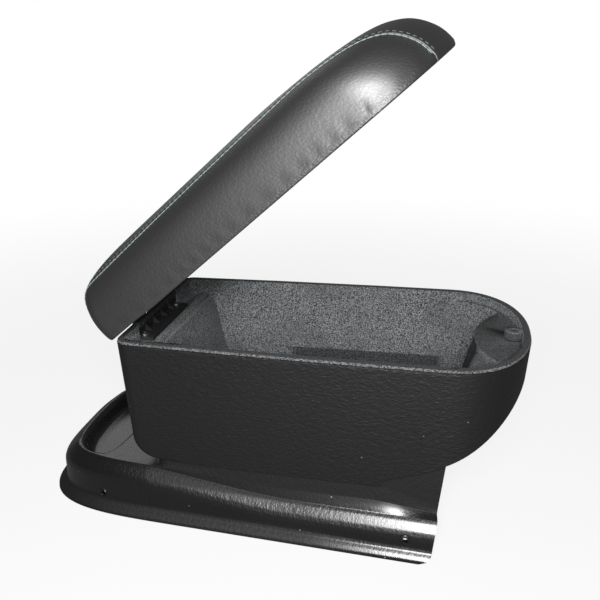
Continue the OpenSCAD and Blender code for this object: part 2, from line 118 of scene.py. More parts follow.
@dataclass(frozen=True)
class Sizes:
    """The named sizes of the part's source, in millimetres."""

    box_l: float = 298.0
    box_w: float = 164.0
    box_rear_w: float = 151.0
    box_h: float = 99.0
    nose_start: float = 238.0
    shell_t: float = 3.0
    draft: float = 3.1
    corner_r: float = 11.0
    rear_under_r: float = 16.0
    step_x: float = 196.0
    step_h: float = 6.4
    base_h: float = 52.0
    flange_t: float = 2.0
    fit: float = 0.3
    nose_power: float = 2.23
    saddle_rear: float = 88.4
    saddle_front: float = 238.0
    cut_lean: float = 4.5
    lip_half_w: float = 97.5
    flare: float = 0.055
    sheet_t: float = 3.0
    deck_z: float = 44.5
    toe_drop: float = 13.0
    plateau_h: float = 24.0
    tray_depth: float = 15.0
    side_hole_d: float = 4.2
    side_hole_z: float = 15.4
    rear_hole_x: float = -26.0
    front_hole_x: float = 218.0
    lid_angle: float = 40.3
    lid_gap: float = 1.2
    lid_side_over: float = 2.0
    lid_rear_over: float = 2.0
    cover_t: float = 1.8
    seam_half_w: float = 64.0
    seam_nose_w: float = 56.0
    pin_x: float = 2.5
    pin_drop: float = 2.5

    @property
    def rim_z(self) -> float:
        """Height of the box rim."""
        return self.base_h + self.box_h

    @property
    def mid_x(self) -> float:
        """Shift that centres the part on the row's origin."""
        return (self.box_l - self.saddle_rear) / 2

    @property
    def lid_z(self) -> float:
        """Underside of the closed lid."""
        return self.rim_z + self.lid_gap

    @property
    def pin_z(self) -> float:
        """Height of the hinge pin."""
        return self.rim_z - self.pin_drop


def smooth(t: np.ndarray) -> np.ndarray:
    """Smooth step from 0 to 1."""
    t = np.clip(t, 0.0, 1.0)
    return t * t * (3 - 2 * t)


def rounded(profile: np.ndarray, passes: int = 2) -> np.ndarray:
    """Cuts the corners of every column's profile, keeping its ends.

    Args:
        profile: rows x columns x 3 points.
        passes: how many times each corner is cut.

    Returns:
        The finer, rounder rows.
    """
    for _ in range(passes):
        a = profile[:-1] * 0.75 + profile[1:] * 0.25
        b = profile[:-1] * 0.25 + profile[1:] * 0.75
        inner = np.stack([a, b], axis=1).reshape(-1, *profile.shape[1:])
        profile = np.concatenate([profile[:1], inner, profile[-1:]])
    return profile


def split_long(profile: np.ndarray, longest: float) -> np.ndarray:
    """Adds rows where neighbouring rows lie further apart than longest.

    Args:
        profile: rows x columns x 3 points.
        longest: widest gap that stays.

    Returns:
        The closer rows.
    """
    rows = [profile[0]]
    for low, high in zip(profile[:-1], profile[1:]):
        gap = float(np.linalg.norm(high - low, axis=-1).max())
        count = max(1, int(math.ceil(gap / longest)))
        rows += [low + (high - low) * k / count for k in range(1, count + 1)]
    return np.array(rows)


def to_row(points: np.ndarray, sizes: Sizes) -> np.ndarray:
    """Model millimetres to row metres.

    Args:
        points: points x, y, z.
        sizes: the part's sizes.

    Returns:
        The moved points.
    """
    out = np.array(points, dtype=float)
    out[..., 0] -= sizes.mid_x
    return out * MM


def linked(name: str, data: bpy.types.ID) -> bpy.types.Object:
    """New object of the scene that holds a mesh, curve, lamp or camera."""
    piece = bpy.data.objects.new(name, data)
    bpy.context.scene.collection.objects.link(piece)
    return piece


def of_form(name: str, form: bmesh.types.BMesh) -> bpy.types.Object:
    """Linked object made of a form, which is used up.

    Args:
        name: the piece's name.
        form: the form in the making.

    Returns:
        The new object.
    """
    mesh = bpy.data.meshes.new(name)
    form.to_mesh(mesh)
    form.free()
    return linked(name, mesh)


@contextmanager
def editing(piece: bpy.types.Object) -> Iterator[bmesh.types.BMesh]:
    """Lends a piece's form for changes and writes it back at the end.

    Args:
        piece: the piece that is changed.

    Yields:
        Its form, ready for access by index.
    """
    form = bmesh.new()
    form.from_mesh(piece.data)
    form.verts.ensure_lookup_table()
    form.faces.ensure_lookup_table()
    yield form
    form.to_mesh(piece.data)
    form.free()


def grid_faces(rows: int, cols: int, closed: bool, flip: bool = False) -> list:
    """Four-sided faces of a grid of points.

    Args:
        rows: rows of the grid.
        cols: columns of the grid.
        closed: joins the last column to the first.
        flip: turns the faces round.

    Returns:
        Tuples of point numbers.
    """
    faces = []
    for j in range(rows - 1):
        for i in range(cols if closed else cols - 1):
            k = (i + 1) % cols
            quad = (j * cols + i, j * cols + k, (j + 1) * cols + k, (j + 1) * cols + i)
            faces.append(quad[::-1] if flip else quad)
    return faces


def grid_object(name: str, grid: np.ndarray, closed: bool, flip: bool = False) -> bpy.types.Object:
    """Linked object with smooth faces made of a grid of points.

    Args:
        name: the piece's name.
        grid: rows x columns x 3 points in row metres.
        closed: joins the last column to the first.
        flip: turns the faces round.

    Returns:
        The new object.
    """
    mesh = bpy.data.meshes.new(name)
    faces = grid_faces(*grid.shape[:2], closed, flip)
    mesh.from_pydata([tuple(p) for p in grid.reshape(-1, 3)], [], faces)
    mesh.validate()
    mesh.shade_smooth()
    return linked(name, mesh)


def apply_modifiers(piece: bpy.types.Object) -> bpy.types.Object:
    """Replaces the mesh by its evaluated form and takes the modifiers off.

    Args:
        piece: the object with modifiers.

    Returns:
        The same object.
    """
    graph = bpy.context.evaluated_depsgraph_get()
    mesh = bpy.data.meshes.new_from_object(piece.evaluated_get(graph))
    piece.modifiers.clear()
    old = piece.data
    piece.data = mesh
    mesh.name = piece.name
    bpy.data.meshes.remove(old)
    return piece


def faces_in(grid: np.ndarray, row: int, col: int, middle: Sequence[float]) -> bool:
    """Tells if a grid's face at a row and column would point to a point inside the form.

    Args:
        grid: rows x columns x 3 points.
        row: the face's row.
        col: the face's column.
        middle: a point inside.

    Returns:
        True if it points inwards.
    """
    a, b, c = grid[row, col], grid[row, col + 1], grid[row + 1, col + 1]
    n = np.cross(b - a, c - b)
    return float(np.dot(n, a - np.array(middle))) < 0


def thicken(
    piece: bpy.types.Object, thickness: float, rim_round: float = 0.0, even: bool = True
) -> bpy.types.Object:
    """Gives a sheet its wall on the inner side and rounds its rim.

    Args:
        piece: the open sheet with its faces outwards.
        thickness: wall in metres.
        rim_round: width of the rounding along the rim in metres, or 0.
        even: keeps the wall's thickness in corners, for forms without sharp folds.

    Returns:
        The same object with its new mesh.
    """
    wall = piece.modifiers.new("wall", "SOLIDIFY")
    wall.thickness = thickness
    wall.offset = -1.0
    wall.use_even_offset = even
    if rim_round > 0:
        edge = piece.modifiers.new("rim", "BEVEL")
        edge.width = rim_round
        edge.segments = 3
        edge.limit_method = "ANGLE"
        edge.angle_limit = math.radians(50)
    return apply_modifiers(piece)


def cut(piece: bpy.types.Object, cutters: Sequence[bpy.types.Object]) -> bpy.types.Object:
    """Cuts closed shapes out of a piece and deletes them.

    Args:
        piece: what is cut.
        cutters: closed shapes.

    Returns:
        The same piece.
    """
    for cutter in cutters:
        step = piece.modifiers.new("cut", "BOOLEAN")
        step.object = cutter
        step.operation = "DIFFERENCE"
        step.solver = "MANIFOLD"
    apply_modifiers(piece)
    for cutter in cutters:
        bpy.data.objects.remove(cutter)
    return piece


def soften(piece: bpy.types.Object, degrees: float = 35.0) -> bpy.types.Object:
    """Smooth shading with sharp edges above an angle."""
    piece.data.shade_smooth()
    piece.data.set_sharp_from_angle(angle=math.radians(degrees))
    return piece


def join(name: str, pieces: Sequence[bpy.types.Object]) -> bpy.types.Object:
    """Joins pieces into one named mesh object.

    Args:
        name: the whole's name.
        pieces: what is joined and then removed.

    Returns:
        The new object.
    """
    whole = bmesh.new()
    for piece in pieces:
        whole.from_mesh(piece.data)
        bpy.data.objects.remove(piece)
    return of_form(name, whole)


def rod(name: str, start: Vector, end: Vector, radius: float, sides: int = 32) -> bpy.types.Object:
    """Closed cylinder between two points, used for cutting holes.

    Args:
        name: the cylinder's name.
        start: middle of one end.
        end: middle of the other end.
        radius: its radius.
        sides: its number of sides.

    Returns:
        The new object.
    """
    form = bmesh.new()
    axis = end - start
    turn = axis.to_track_quat("Z", "Y").to_matrix().to_4x4()
    place = Matrix.Translation((start + end) / 2) @ turn
    bmesh.ops.create_cone(
        form, cap_ends=True, segments=sides, radius1=radius, radius2=radius, depth=axis.length, matrix=place
    )
    return of_form(name, form)


def copy_of_node(name: str, node: bpy.types.Object, degrees: float = 35.0) -> bpy.types.Object:
    """Welded and softly shaded copy of a CAD node's mesh.

    Args:
        name: the new piece's name.
        node: the CAD node's object.
        degrees: angle above which an edge stays sharp.

    Returns:
        The new object.
    """
    form = bmesh.new()
    form.from_mesh(node.data)
    bmesh.ops.remove_doubles(form, verts=form.verts, dist=WELD)
    bmesh.ops.dissolve_limit(form, angle_limit=math.radians(0.6), verts=form.verts, edges=form.edges)
    bmesh.ops.triangulate(form, faces=[f for f in form.faces if len(f.verts) > 4])
    return soften(of_form(name, form), degrees)


@dataclass(frozen=True)
class BoxForm:
    """Outline and lower edge of the storage box."""

    s: Sizes
    nose_steps: int = 48
    corner_steps: int = 13
    rear_steps: int = 22
    bow_run: float = 5.5
    bow_slope: float = 33.0
    bow_rise: float = 35.0

    def side(self, x: np.ndarray) -> np.ndarray:
        """Half width of the box at x."""
        s = self.s
        back = (s.nose_start - x) / s.nose_start
        return s.box_w / 2 - (s.box_w - s.box_rear_w) / 2 * back**2

    def half(self, inset: float, rear: float = 0.0) -> np.ndarray:
        """Half outline from the nose tip to the middle of the rear face.

        Args:
            inset: distance inwards from the rim's outline.
            rear: how far the rear face is moved forward.

        Returns:
            Points x, y with y positive.
        """
        s = self.s
        r = max(s.corner_r - inset, 2.0)
        t = np.linspace(0, math.pi / 2, self.nose_steps + 1)[:-1]
        power = 2 / s.nose_power
        nose_x = s.nose_start + (s.box_l - s.nose_start - inset) * np.cos(t) ** power
        nose_y = (s.box_w / 2 - inset) * np.sin(t) ** power
        x = np.concatenate([
            np.linspace(s.nose_start, 207, 14),
            np.arange(206, 191, -0.75),
            np.linspace(190, rear + 30, 74),
        ])
        a = np.linspace(0, math.pi / 2, self.corner_steps)
        cx = rear + inset + r
        cy = float(self.side(np.array(inset + r))) - inset - r
        corner_x, corner_y = cx - r * np.sin(a), cy + r * np.cos(a)
        back_y = np.linspace(cy, 0, self.rear_steps + 1)[1:]
        xs = np.concatenate([nose_x, x, corner_x, np.full(self.rear_steps, rear + inset)])
        ys = np.concatenate([nose_y, self.side(x) - inset, corner_y, back_y])
        return np.stack([xs, ys], axis=1)

    def loop(self, inset: float, z: float, rear: float = 0.0) -> np.ndarray:
        """Closed outline at one height.

        Args:
            inset: distance inwards from the rim's outline.
            z: the height.
            rear: how far the rear face is moved forward.

        Returns:
            Points x, y, z.
        """
        half = self.half(inset, rear)
        far = half[1:-1][::-1] * np.array([1.0, -1.0])
        flat = np.concatenate([half, far])
        return np.column_stack([flat, np.full(len(flat), z)])

    def draft(self, z: float) -> float:
        """Narrowing of a side at a height."""
        return self.s.draft * (self.s.rim_z - z) / self.s.box_h

    def rear_at(self, z: float) -> float:
        """How far the rear face has curved forward at a height."""
        r = self.s.rear_under_r
        drop = self.s.base_h + r - z
        return 0.0 if drop <= 0 else r - math.sqrt(max(r * r - drop * drop, 0.0))

    def low_edge(self, x: float) -> float:
        """Height of the skirt edge and of the bow at x.

        Args:
            x: place along the box.

        Returns:
            The height in model millimetres.
        """
        s = self.s
        if x < s.step_x:
            return s.base_h
        bow_x = s.step_x + self.bow_run
        if x < bow_x:
            return s.base_h + s.step_h * float(smooth(np.array((x - s.step_x) / self.bow_run)))
        t = (x - bow_x) / (s.box_l - bow_x)
        return s.base_h + s.step_h + self.bow_slope * t + self.bow_rise * t**3

    def wall(self, outer: float, top: float, rows: int) -> np.ndarray:
        """Grid of the outer wall from the skirt edge to a height.

        Args:
            outer: inset of the wall at the rim.
            top: upper end of the wall.
            rows: rows of the grid.

        Returns:
            rows x columns x 3 points in model millimetres.
        """
        base = self.loop(outer, top)
        low = np.array([self.low_edge(p[0]) for p in base])
        for _ in range(4):
            for i, z in enumerate(low):
                if base[i][0] > self.s.step_x:
                    ring = self.loop(outer + self.draft(z), z)
                    low[i] = self.low_edge(float(ring[i][0]))
        close = 1 - np.cos(np.linspace(0, math.pi / 2, 14))
        spread = np.concatenate([close, np.linspace(1, 4.2, rows)[1:]])
        spread /= spread[-1]
        grid = np.zeros((len(spread), len(base), 3))
        cache = {}
        for j, t in enumerate(spread):
            for i in range(len(base)):
                z = round(float(low[i] + (top - low[i]) * t), 3)
                if z not in cache:
                    cache[z] = self.loop(outer + self.draft(z), z, self.rear_at(z))
                grid[j, i] = cache[z][i]
        return grid


class LidForm:
    """Surface of the padded lid as drawn shut, and its turn to the open place."""

    RINGS = (
        (0, 1.2, 1.2, 1.2), (1.2, 0.4, 0.4, 0.4), (3, 0, 0, 0), (12, -0.3, 1.7, -0.3), (19, 0.3, 5, 0.6),
        (25, 1.6, 9, 1.9), (30.5, 3.9, 14, 3.8), (35.2, 7.4, 21, 6.2), (39, 12, 29, 9.2), (42, 18.5, 41, 13.5),
        (44.6, 27, 60, 19), (46.6, 38, 88, 27), (48.2, 52, 120, 40), (49, 68, 150, 64),
    )

    def __init__(self, sizes: Sizes, box: BoxForm) -> None:
        """Builds the search tree of the surface."""
        self.s = sizes
        self.base = box.loop(0.0, 0.0)[:, :2]
        rings = np.array([self.ring(*r) for r in self.RINGS])
        fine = rounded(rings, 3)
        rows, cols = fine.shape[:2]
        faces = grid_faces(rows, cols, closed=True)
        faces.append(tuple((rows - 1) * cols + i for i in range(cols)))
        faces.append(tuple(range(cols))[::-1])
        self.tree = BVHTree.FromPolygons([Vector(p) for p in fine.reshape(-1, 3)], faces)

    def ring(self, height: float, side: float, nose: float, rear: float) -> np.ndarray:
        """One ring of the lid in model millimetres, with heights above the lid plane.

        Args:
            height: height above the lid plane.
            side: inset of the two sides.
            nose: inset at the nose.
            rear: inset at the rear.

        Returns:
            Points x, y, z.
        """
        s = self.s
        long = s.box_l + 2 + s.lid_rear_over - nose - rear
        x = -s.lid_rear_over + rear + self.base[:, 0] * long / s.box_l
        y = self.base[:, 1] * (s.box_w / 2 + s.lid_side_over - side) / (s.box_w / 2)
        return np.column_stack([x, y, np.full(len(x), float(height))])

    def hit(self, origin: Sequence[float], direction: Sequence[float]) -> Optional[Vector]:
        """Point where a ray from inside leaves the lid."""
        found = self.tree.ray_cast(Vector(origin), Vector(direction).normalized())
        return found[0]

    def seam_y(self, x: float) -> float:
        """Half width of the centre panel at x."""
        s = self.s
        turn_in = float(smooth(np.array((x - s.nose_start + 10) / 48)))
        return s.seam_half_w - (s.seam_half_w - s.seam_nose_w) * turn_in

    def place(self, points: np.ndarray) -> np.ndarray:
        """Turns lid points to the open place.

        Args:
            points: model millimetres, with heights above the lid plane.

        Returns:
            The points in row metres.
        """
        s = self.s
        p = np.array(points, dtype=float)
        a = math.radians(s.lid_angle)
        x = p[..., 0] - s.pin_x
        z = p[..., 2] + s.lid_z - s.pin_z
        out = p.copy()
        out[..., 0] = s.pin_x + x * math.cos(a) - z * math.sin(a)
        out[..., 2] = s.pin_z + x * math.sin(a) + z * math.cos(a)
        return to_row(out, s)


class Saddle:
    """Formed sheet that sits on the car's tunnel, with its tray, lip and side holes."""

    COLUMNS_SIDE = 56
    COLUMNS_REAR = 56
    REAR_X = 40.0
    REAR_POWER = 3.7
    PED_BACK = 21.5
    PED_POWER = 6.0
    LIP_RINGS = ((0, 0, 0.0), (0.4, 0, 2.4), (2.4, 0.6, 4.8), (4.9, 1.6, 7.0), (6, 3, 9.4))
    SHOULDER_RINGS = (
        (6.2, 4.8, -14.0), (6.9, 5.8, -10.4), (8.5, 7.2, -7.0),
        (10.7, 9.0, -4.0), (13.0, 11.0, -1.3), (15.2, 13.0, 0.5),
    )
    FOOT_RINGS = ((1.0, 1.5), (0.6, 6.0))
    TOP_RINGS = ((0.0, -2.0), (-0.6, -0.6), (-2.0, 0.0))
    DISH = (
        (6.4, 0.4), (5.7, 0.03), (4.8, 0.08), (3.9, 0.3), (3, 0.75), (2.1, 1.5), (1.2, 2.7), (0.4, 4.3),
        (-0.2, 6.4), (-0.8, 9), (-1.5, 11.4), (-2.4, 13.1), (-3.6, 14.2), (-5.2, 14.8), (-7, 15), (-9, 15),
    )
    TRAY_X, TRAY_HALF_W, TRAY_POWER = -31.0, 57.0, 0.8
    TRAY_FRONT, TRAY_BACK = 9.6, 29.0
    WALL_INSET = 6.4

    def __init__(self, sizes: Sizes, box: BoxForm) -> None:
        """Keeps the sizes and the outline of the box above."""
        self.s = sizes
        self.box = box

    def lip_w(self, x: np.ndarray) -> np.ndarray:
        """Half width of the saddle at the ground."""
        s = self.s
        return s.lip_half_w - s.flare * (s.saddle_front - 5 - x)

    def ped_w(self, x: np.ndarray) -> np.ndarray:
        """Half width of the pedestal under the box."""
        s = self.s
        return self.box.side(np.minimum(x, s.nose_start)) - (s.shell_t + s.draft + 1.4)

    def toe_z(self, x: np.ndarray) -> np.ndarray:
        """Height of the deck at the foot of the pedestal."""
        s = self.s
        return s.deck_z - s.toe_drop * smooth((x - 188) / 60)

    def shoulder_z(self, x: np.ndarray) -> np.ndarray:
        """Height of the deck at the shoulder."""
        return self.s.deck_z - 1.5 - 14 * smooth((x + 20) / 155)

    def cut_x(self, z: np.ndarray) -> np.ndarray:
        """Place of the front cut at a height, with its rounded lower corner."""
        s, r = self.s, 9.0
        low = s.saddle_front - r + np.sqrt(np.maximum(r * r - (r - z) ** 2, 0.0))
        return np.where(z < r, low, s.saddle_front + (z - r) * math.tan(math.radians(s.cut_lean)))

    def path(self, width: Callable, reach: float, power: float, front: np.ndarray) -> np.ndarray:
        """Columns from the near cut round the rear to the far cut.

        Args:
            width: half width as a function of x.
            reach: distance of the rear end from the middle of the curve.
            power: squareness of the rear curve.
            front: x of the cut on the two sides.

        Returns:
            Points x, y.
        """
        t = np.linspace(0, 1, self.COLUMNS_SIDE + 1)
        a = np.linspace(0, math.pi / 2, self.COLUMNS_REAR + 1)[1:]
        size = (np.sin(a) ** power + np.cos(a) ** power) ** (1 / power)
        x = np.concatenate([front + (self.REAR_X - front) * t, self.REAR_X - reach * np.sin(a) / size])
        y = np.concatenate([width(x[: len(t)]), width(x[len(t):]) * np.cos(a) / size])
        half = np.stack([x, y], axis=1)
        return np.concatenate([half, (half * np.array([1.0, -1.0]))[:-1][::-1]])

    def ring(self, pedestal: bool, a: float, b: float, height: Callable) -> np.ndarray:
        """One ring of the sheet's outer face.

        Args:
            pedestal: follows the pedestal instead of the lip.
            a: offset of the ring.
            b: more offset where the ring faces backwards.
            height: z as a function of x.

        Returns:
            Points x, y, z, with the ends on the front cut.
        """
        front = self.s.saddle_front
        out = np.zeros((0, 3))
        for _ in range(4):
            if pedestal:
                pts = self.path(self.ped_w, self.PED_BACK, self.PED_POWER, front)
            else:
                pts = self.path(self.lip_w, self.s.saddle_rear + self.REAR_X, self.REAR_POWER, front)
            along = np.gradient(pts, axis=0)
            along /= np.linalg.norm(along, axis=1, keepdims=True)
            out_n = np.stack([along[:, 1], -along[:, 0]], axis=1)
            if pedestal:
                moved = pts + out_n * a
            else:
                moved = pts - out_n * (a + b * np.maximum(0, -out_n[:, :1]) ** 2)
            z = np.asarray(height(pts[:, 0]), dtype=float) * np.ones(len(pts))
            out = np.column_stack([moved, z])
            front = float(self.cut_x(z[:1])[0])
        return out

    def grid(self) -> np.ndarray:
        """All rows of the outer face from the ground to the pedestal's top."""
        shoulder, toe = self.shoulder_z, self.toe_z
        top = self.s.base_h + self.s.plateau_h
        rings = [self.ring(False, a, b, lambda x, z=z: z) for a, b, z in self.LIP_RINGS]
        rings += [self.ring(False, a, b, lambda x, up=up: shoulder(x) + up) for a, b, up in self.SHOULDER_RINGS]
        rings.append(self.ring(True, 1.7, 0, lambda x: shoulder(x) + 1.6 + (toe(x) - shoulder(x) - 1.6) * 0.5))
        rings += [self.ring(True, a, 0, lambda x, up=up: toe(x) + up) for a, up in self.FOOT_RINGS]
        rings += [self.ring(True, a, 0, lambda x, up=up: top + up) for a, up in self.TOP_RINGS]
        return rounded(split_long(np.array(rings), 3.4), 1)

    def tray_ring(self, d: float, count: int = 96) -> np.ndarray:
        """Outline of the half moon tray, grown by d.

        Args:
            d: distance outwards.
            count: number of points.

        Returns:
            Points x, y.
        """
        f = np.linspace(0, FULL_TURN, count, endpoint=False)
        half_x = np.where(np.cos(f) > 0, self.TRAY_FRONT + d, self.TRAY_BACK + d)
        x = self.TRAY_X + half_x * np.sign(np.cos(f)) * np.abs(np.cos(f)) ** self.TRAY_POWER
        y = (self.TRAY_HALF_W + d) * np.sign(np.sin(f)) * np.abs(np.sin(f)) ** self.TRAY_POWER
        return np.stack([x, y], axis=1)

    def tray(self, skin: BVHTree) -> bpy.types.Object:
        """Dish of the tray with its soft rim, set into the deck.

        Args:
            skin: search tree of the sheet's outer face.

        Returns:
            The dish with its wall.
        """
        def deck_at(outline: np.ndarray) -> np.ndarray:
            """Heights of the deck along an outline."""
            heights = []
            for x, y in outline:
                above = Vector(to_row(np.array([x, y, 90.0]), self.s))
                found = skin.ray_cast(above, Vector((0, 0, -1)))
                heights.append(found[0].z / MM if found[0] else self.s.deck_z)
            return np.array(heights)
        rows = []
        for d, drop in self.DISH:
            flat = self.tray_ring(d)
            deck = deck_at(self.tray_ring(max(d, 4.8)))
            share = min(drop / self.s.tray_depth, 1.0)
            z = deck * (1 - share) + self.s.deck_z * share - drop
            rows.append(np.column_stack([flat, z]))
        grid = rounded(np.array(rows), 1)
        dish = grid_object("dish", to_row(grid, self.s), closed=True)
        rows, count = grid.shape[:2]
        with editing(dish) as form:
            form.faces.new([form.verts[(rows - 1) * count + i] for i in range(count)])
            bmesh.ops.recalc_face_normals(form, faces=form.faces)
            form.faces.ensure_lookup_table()
            if form.faces[-1].normal.z < 0:
                bmesh.ops.reverse_faces(form, faces=form.faces)
        return thicken(dish, self.s.sheet_t * MM)

    def collar(self, x: float, side: int, wall: float) -> bpy.types.Object:
        """Raised edge that the punch left round a side screw hole.

        Args:
            x: place of the hole along the part.
            side: 1 or -1 for the far or the near side.
            wall: half width of the wall there.

        Returns:
            The ring-shaped piece.
        """
        profile = ((2.1, -2.0), (2.1, 0.7), (2.35, 1.0), (2.8, 0.95), (3.4, 0.5), (4.4, 0.0), (4.4, -2.0))
        turns = np.linspace(0, FULL_TURN, 40, endpoint=False)
        rows = []
        for r, out in profile:
            depth = np.full(len(turns), side * (wall + out))
            rows.append(np.column_stack([x + r * np.cos(turns), depth, self.s.side_hole_z + r * np.sin(turns)]))
        rows.append(rows[0])
        return grid_object("collar", to_row(np.array(rows), self.s), closed=True, flip=side > 0)

    def wall_y(self, x: float) -> float:
        """Half width of the lower wall at the height of the screw holes.

        Args:
            x: place along the saddle.

        Returns:
            Half the width in millimetres.
        """
        reach = self.s.saddle_rear + self.REAR_X
        shrink = 1.0
        if x < self.REAR_X:
            shrink = (1 - ((self.REAR_X - x) / reach) ** self.REAR_POWER) ** (1 / self.REAR_POWER)
        return float(self.lip_w(np.array(x))) * shrink - self.WALL_INSET

    def build(self) -> bpy.types.Object:
        """Builds the sheet with its tray, holes and collars.

        Returns:
            The whole saddle.
        """
        s = self.s
        points = to_row(self.grid(), s)
        turned = faces_in(points, 6, 20, (points[6, 20, 0], 0.0, 0.01))
        skin = grid_object("saddle_skin", points, closed=False, flip=turned)
        bpy.context.view_layer.update()
        form = bmesh.new()
        form.from_mesh(skin.data)
        tree = BVHTree.FromBMesh(form)
        form.free()
        thicken(skin, s.sheet_t * MM)
        outline = self.tray_ring(5.5)
        prism = np.array([np.column_stack([outline, np.full(len(outline), z)]) for z in (34.0, 60.0)])
        block = grid_object("tray_hole", to_row(prism, s), closed=True)
        with editing(block) as cap:
            bmesh.ops.holes_fill(cap, edges=[e for e in cap.edges if e.is_boundary])
            bmesh.ops.recalc_face_normals(cap, faces=cap.faces)
        cutters, collars = [block], []
        for x in (s.rear_hole_x, s.front_hole_x):
            for side in (-1, 1):
                wall = self.wall_y(x)
                ends = [to_row(np.array([x, side * (wall + reach), s.side_hole_z]), s) for reach in (-12, 6)]
                cutters.append(rod("hole", Vector(ends[0]), Vector(ends[1]), s.side_hole_d / 2 * MM))
                collars.append(self.collar(x, side, wall))
        cut(skin, cutters)
        whole = join("saddle_skin", [skin, self.tray(tree)] + collars)
        for corner in whole.data.vertices:
            corner.co.z = max(corner.co.z, 0.0)
        return soften(whole, 42)


class StorageBox:
    """Grained outer skin of the storage box and its flocked liner."""

    def __init__(self, sizes: Sizes, form: BoxForm) -> None:
        """Keeps the sizes and the outline."""
        self.s = sizes
        self.form = form

    def skin(self) -> bpy.types.Object:
        """Outer wall with its curved lower edge.

        Returns:
            The skin with its wall.
        """
        s = self.s
        grid = self.form.wall(0.0, s.rim_z - s.flange_t - s.fit, 26)
        piece = grid_object("box_skin", to_row(grid, s), closed=True, flip=False)
        with editing(piece) as check:
            face = check.faces[10]
            at = face.calc_center_median()
            if face.normal.dot(at - Vector((0.04, 0, at.z))) <= 0:
                bmesh.ops.reverse_faces(check, faces=check.faces)
        return soften(thicken(piece, s.shell_t * MM, 1.1 * MM), 40)

    def liner(self, node: bpy.types.Object) -> bpy.types.Object:
        """Flocked liner: a welded copy of the CAD node, softly shaded so that its rim edges look rounded."""
        return copy_of_node("liner_flocked", node, 32)


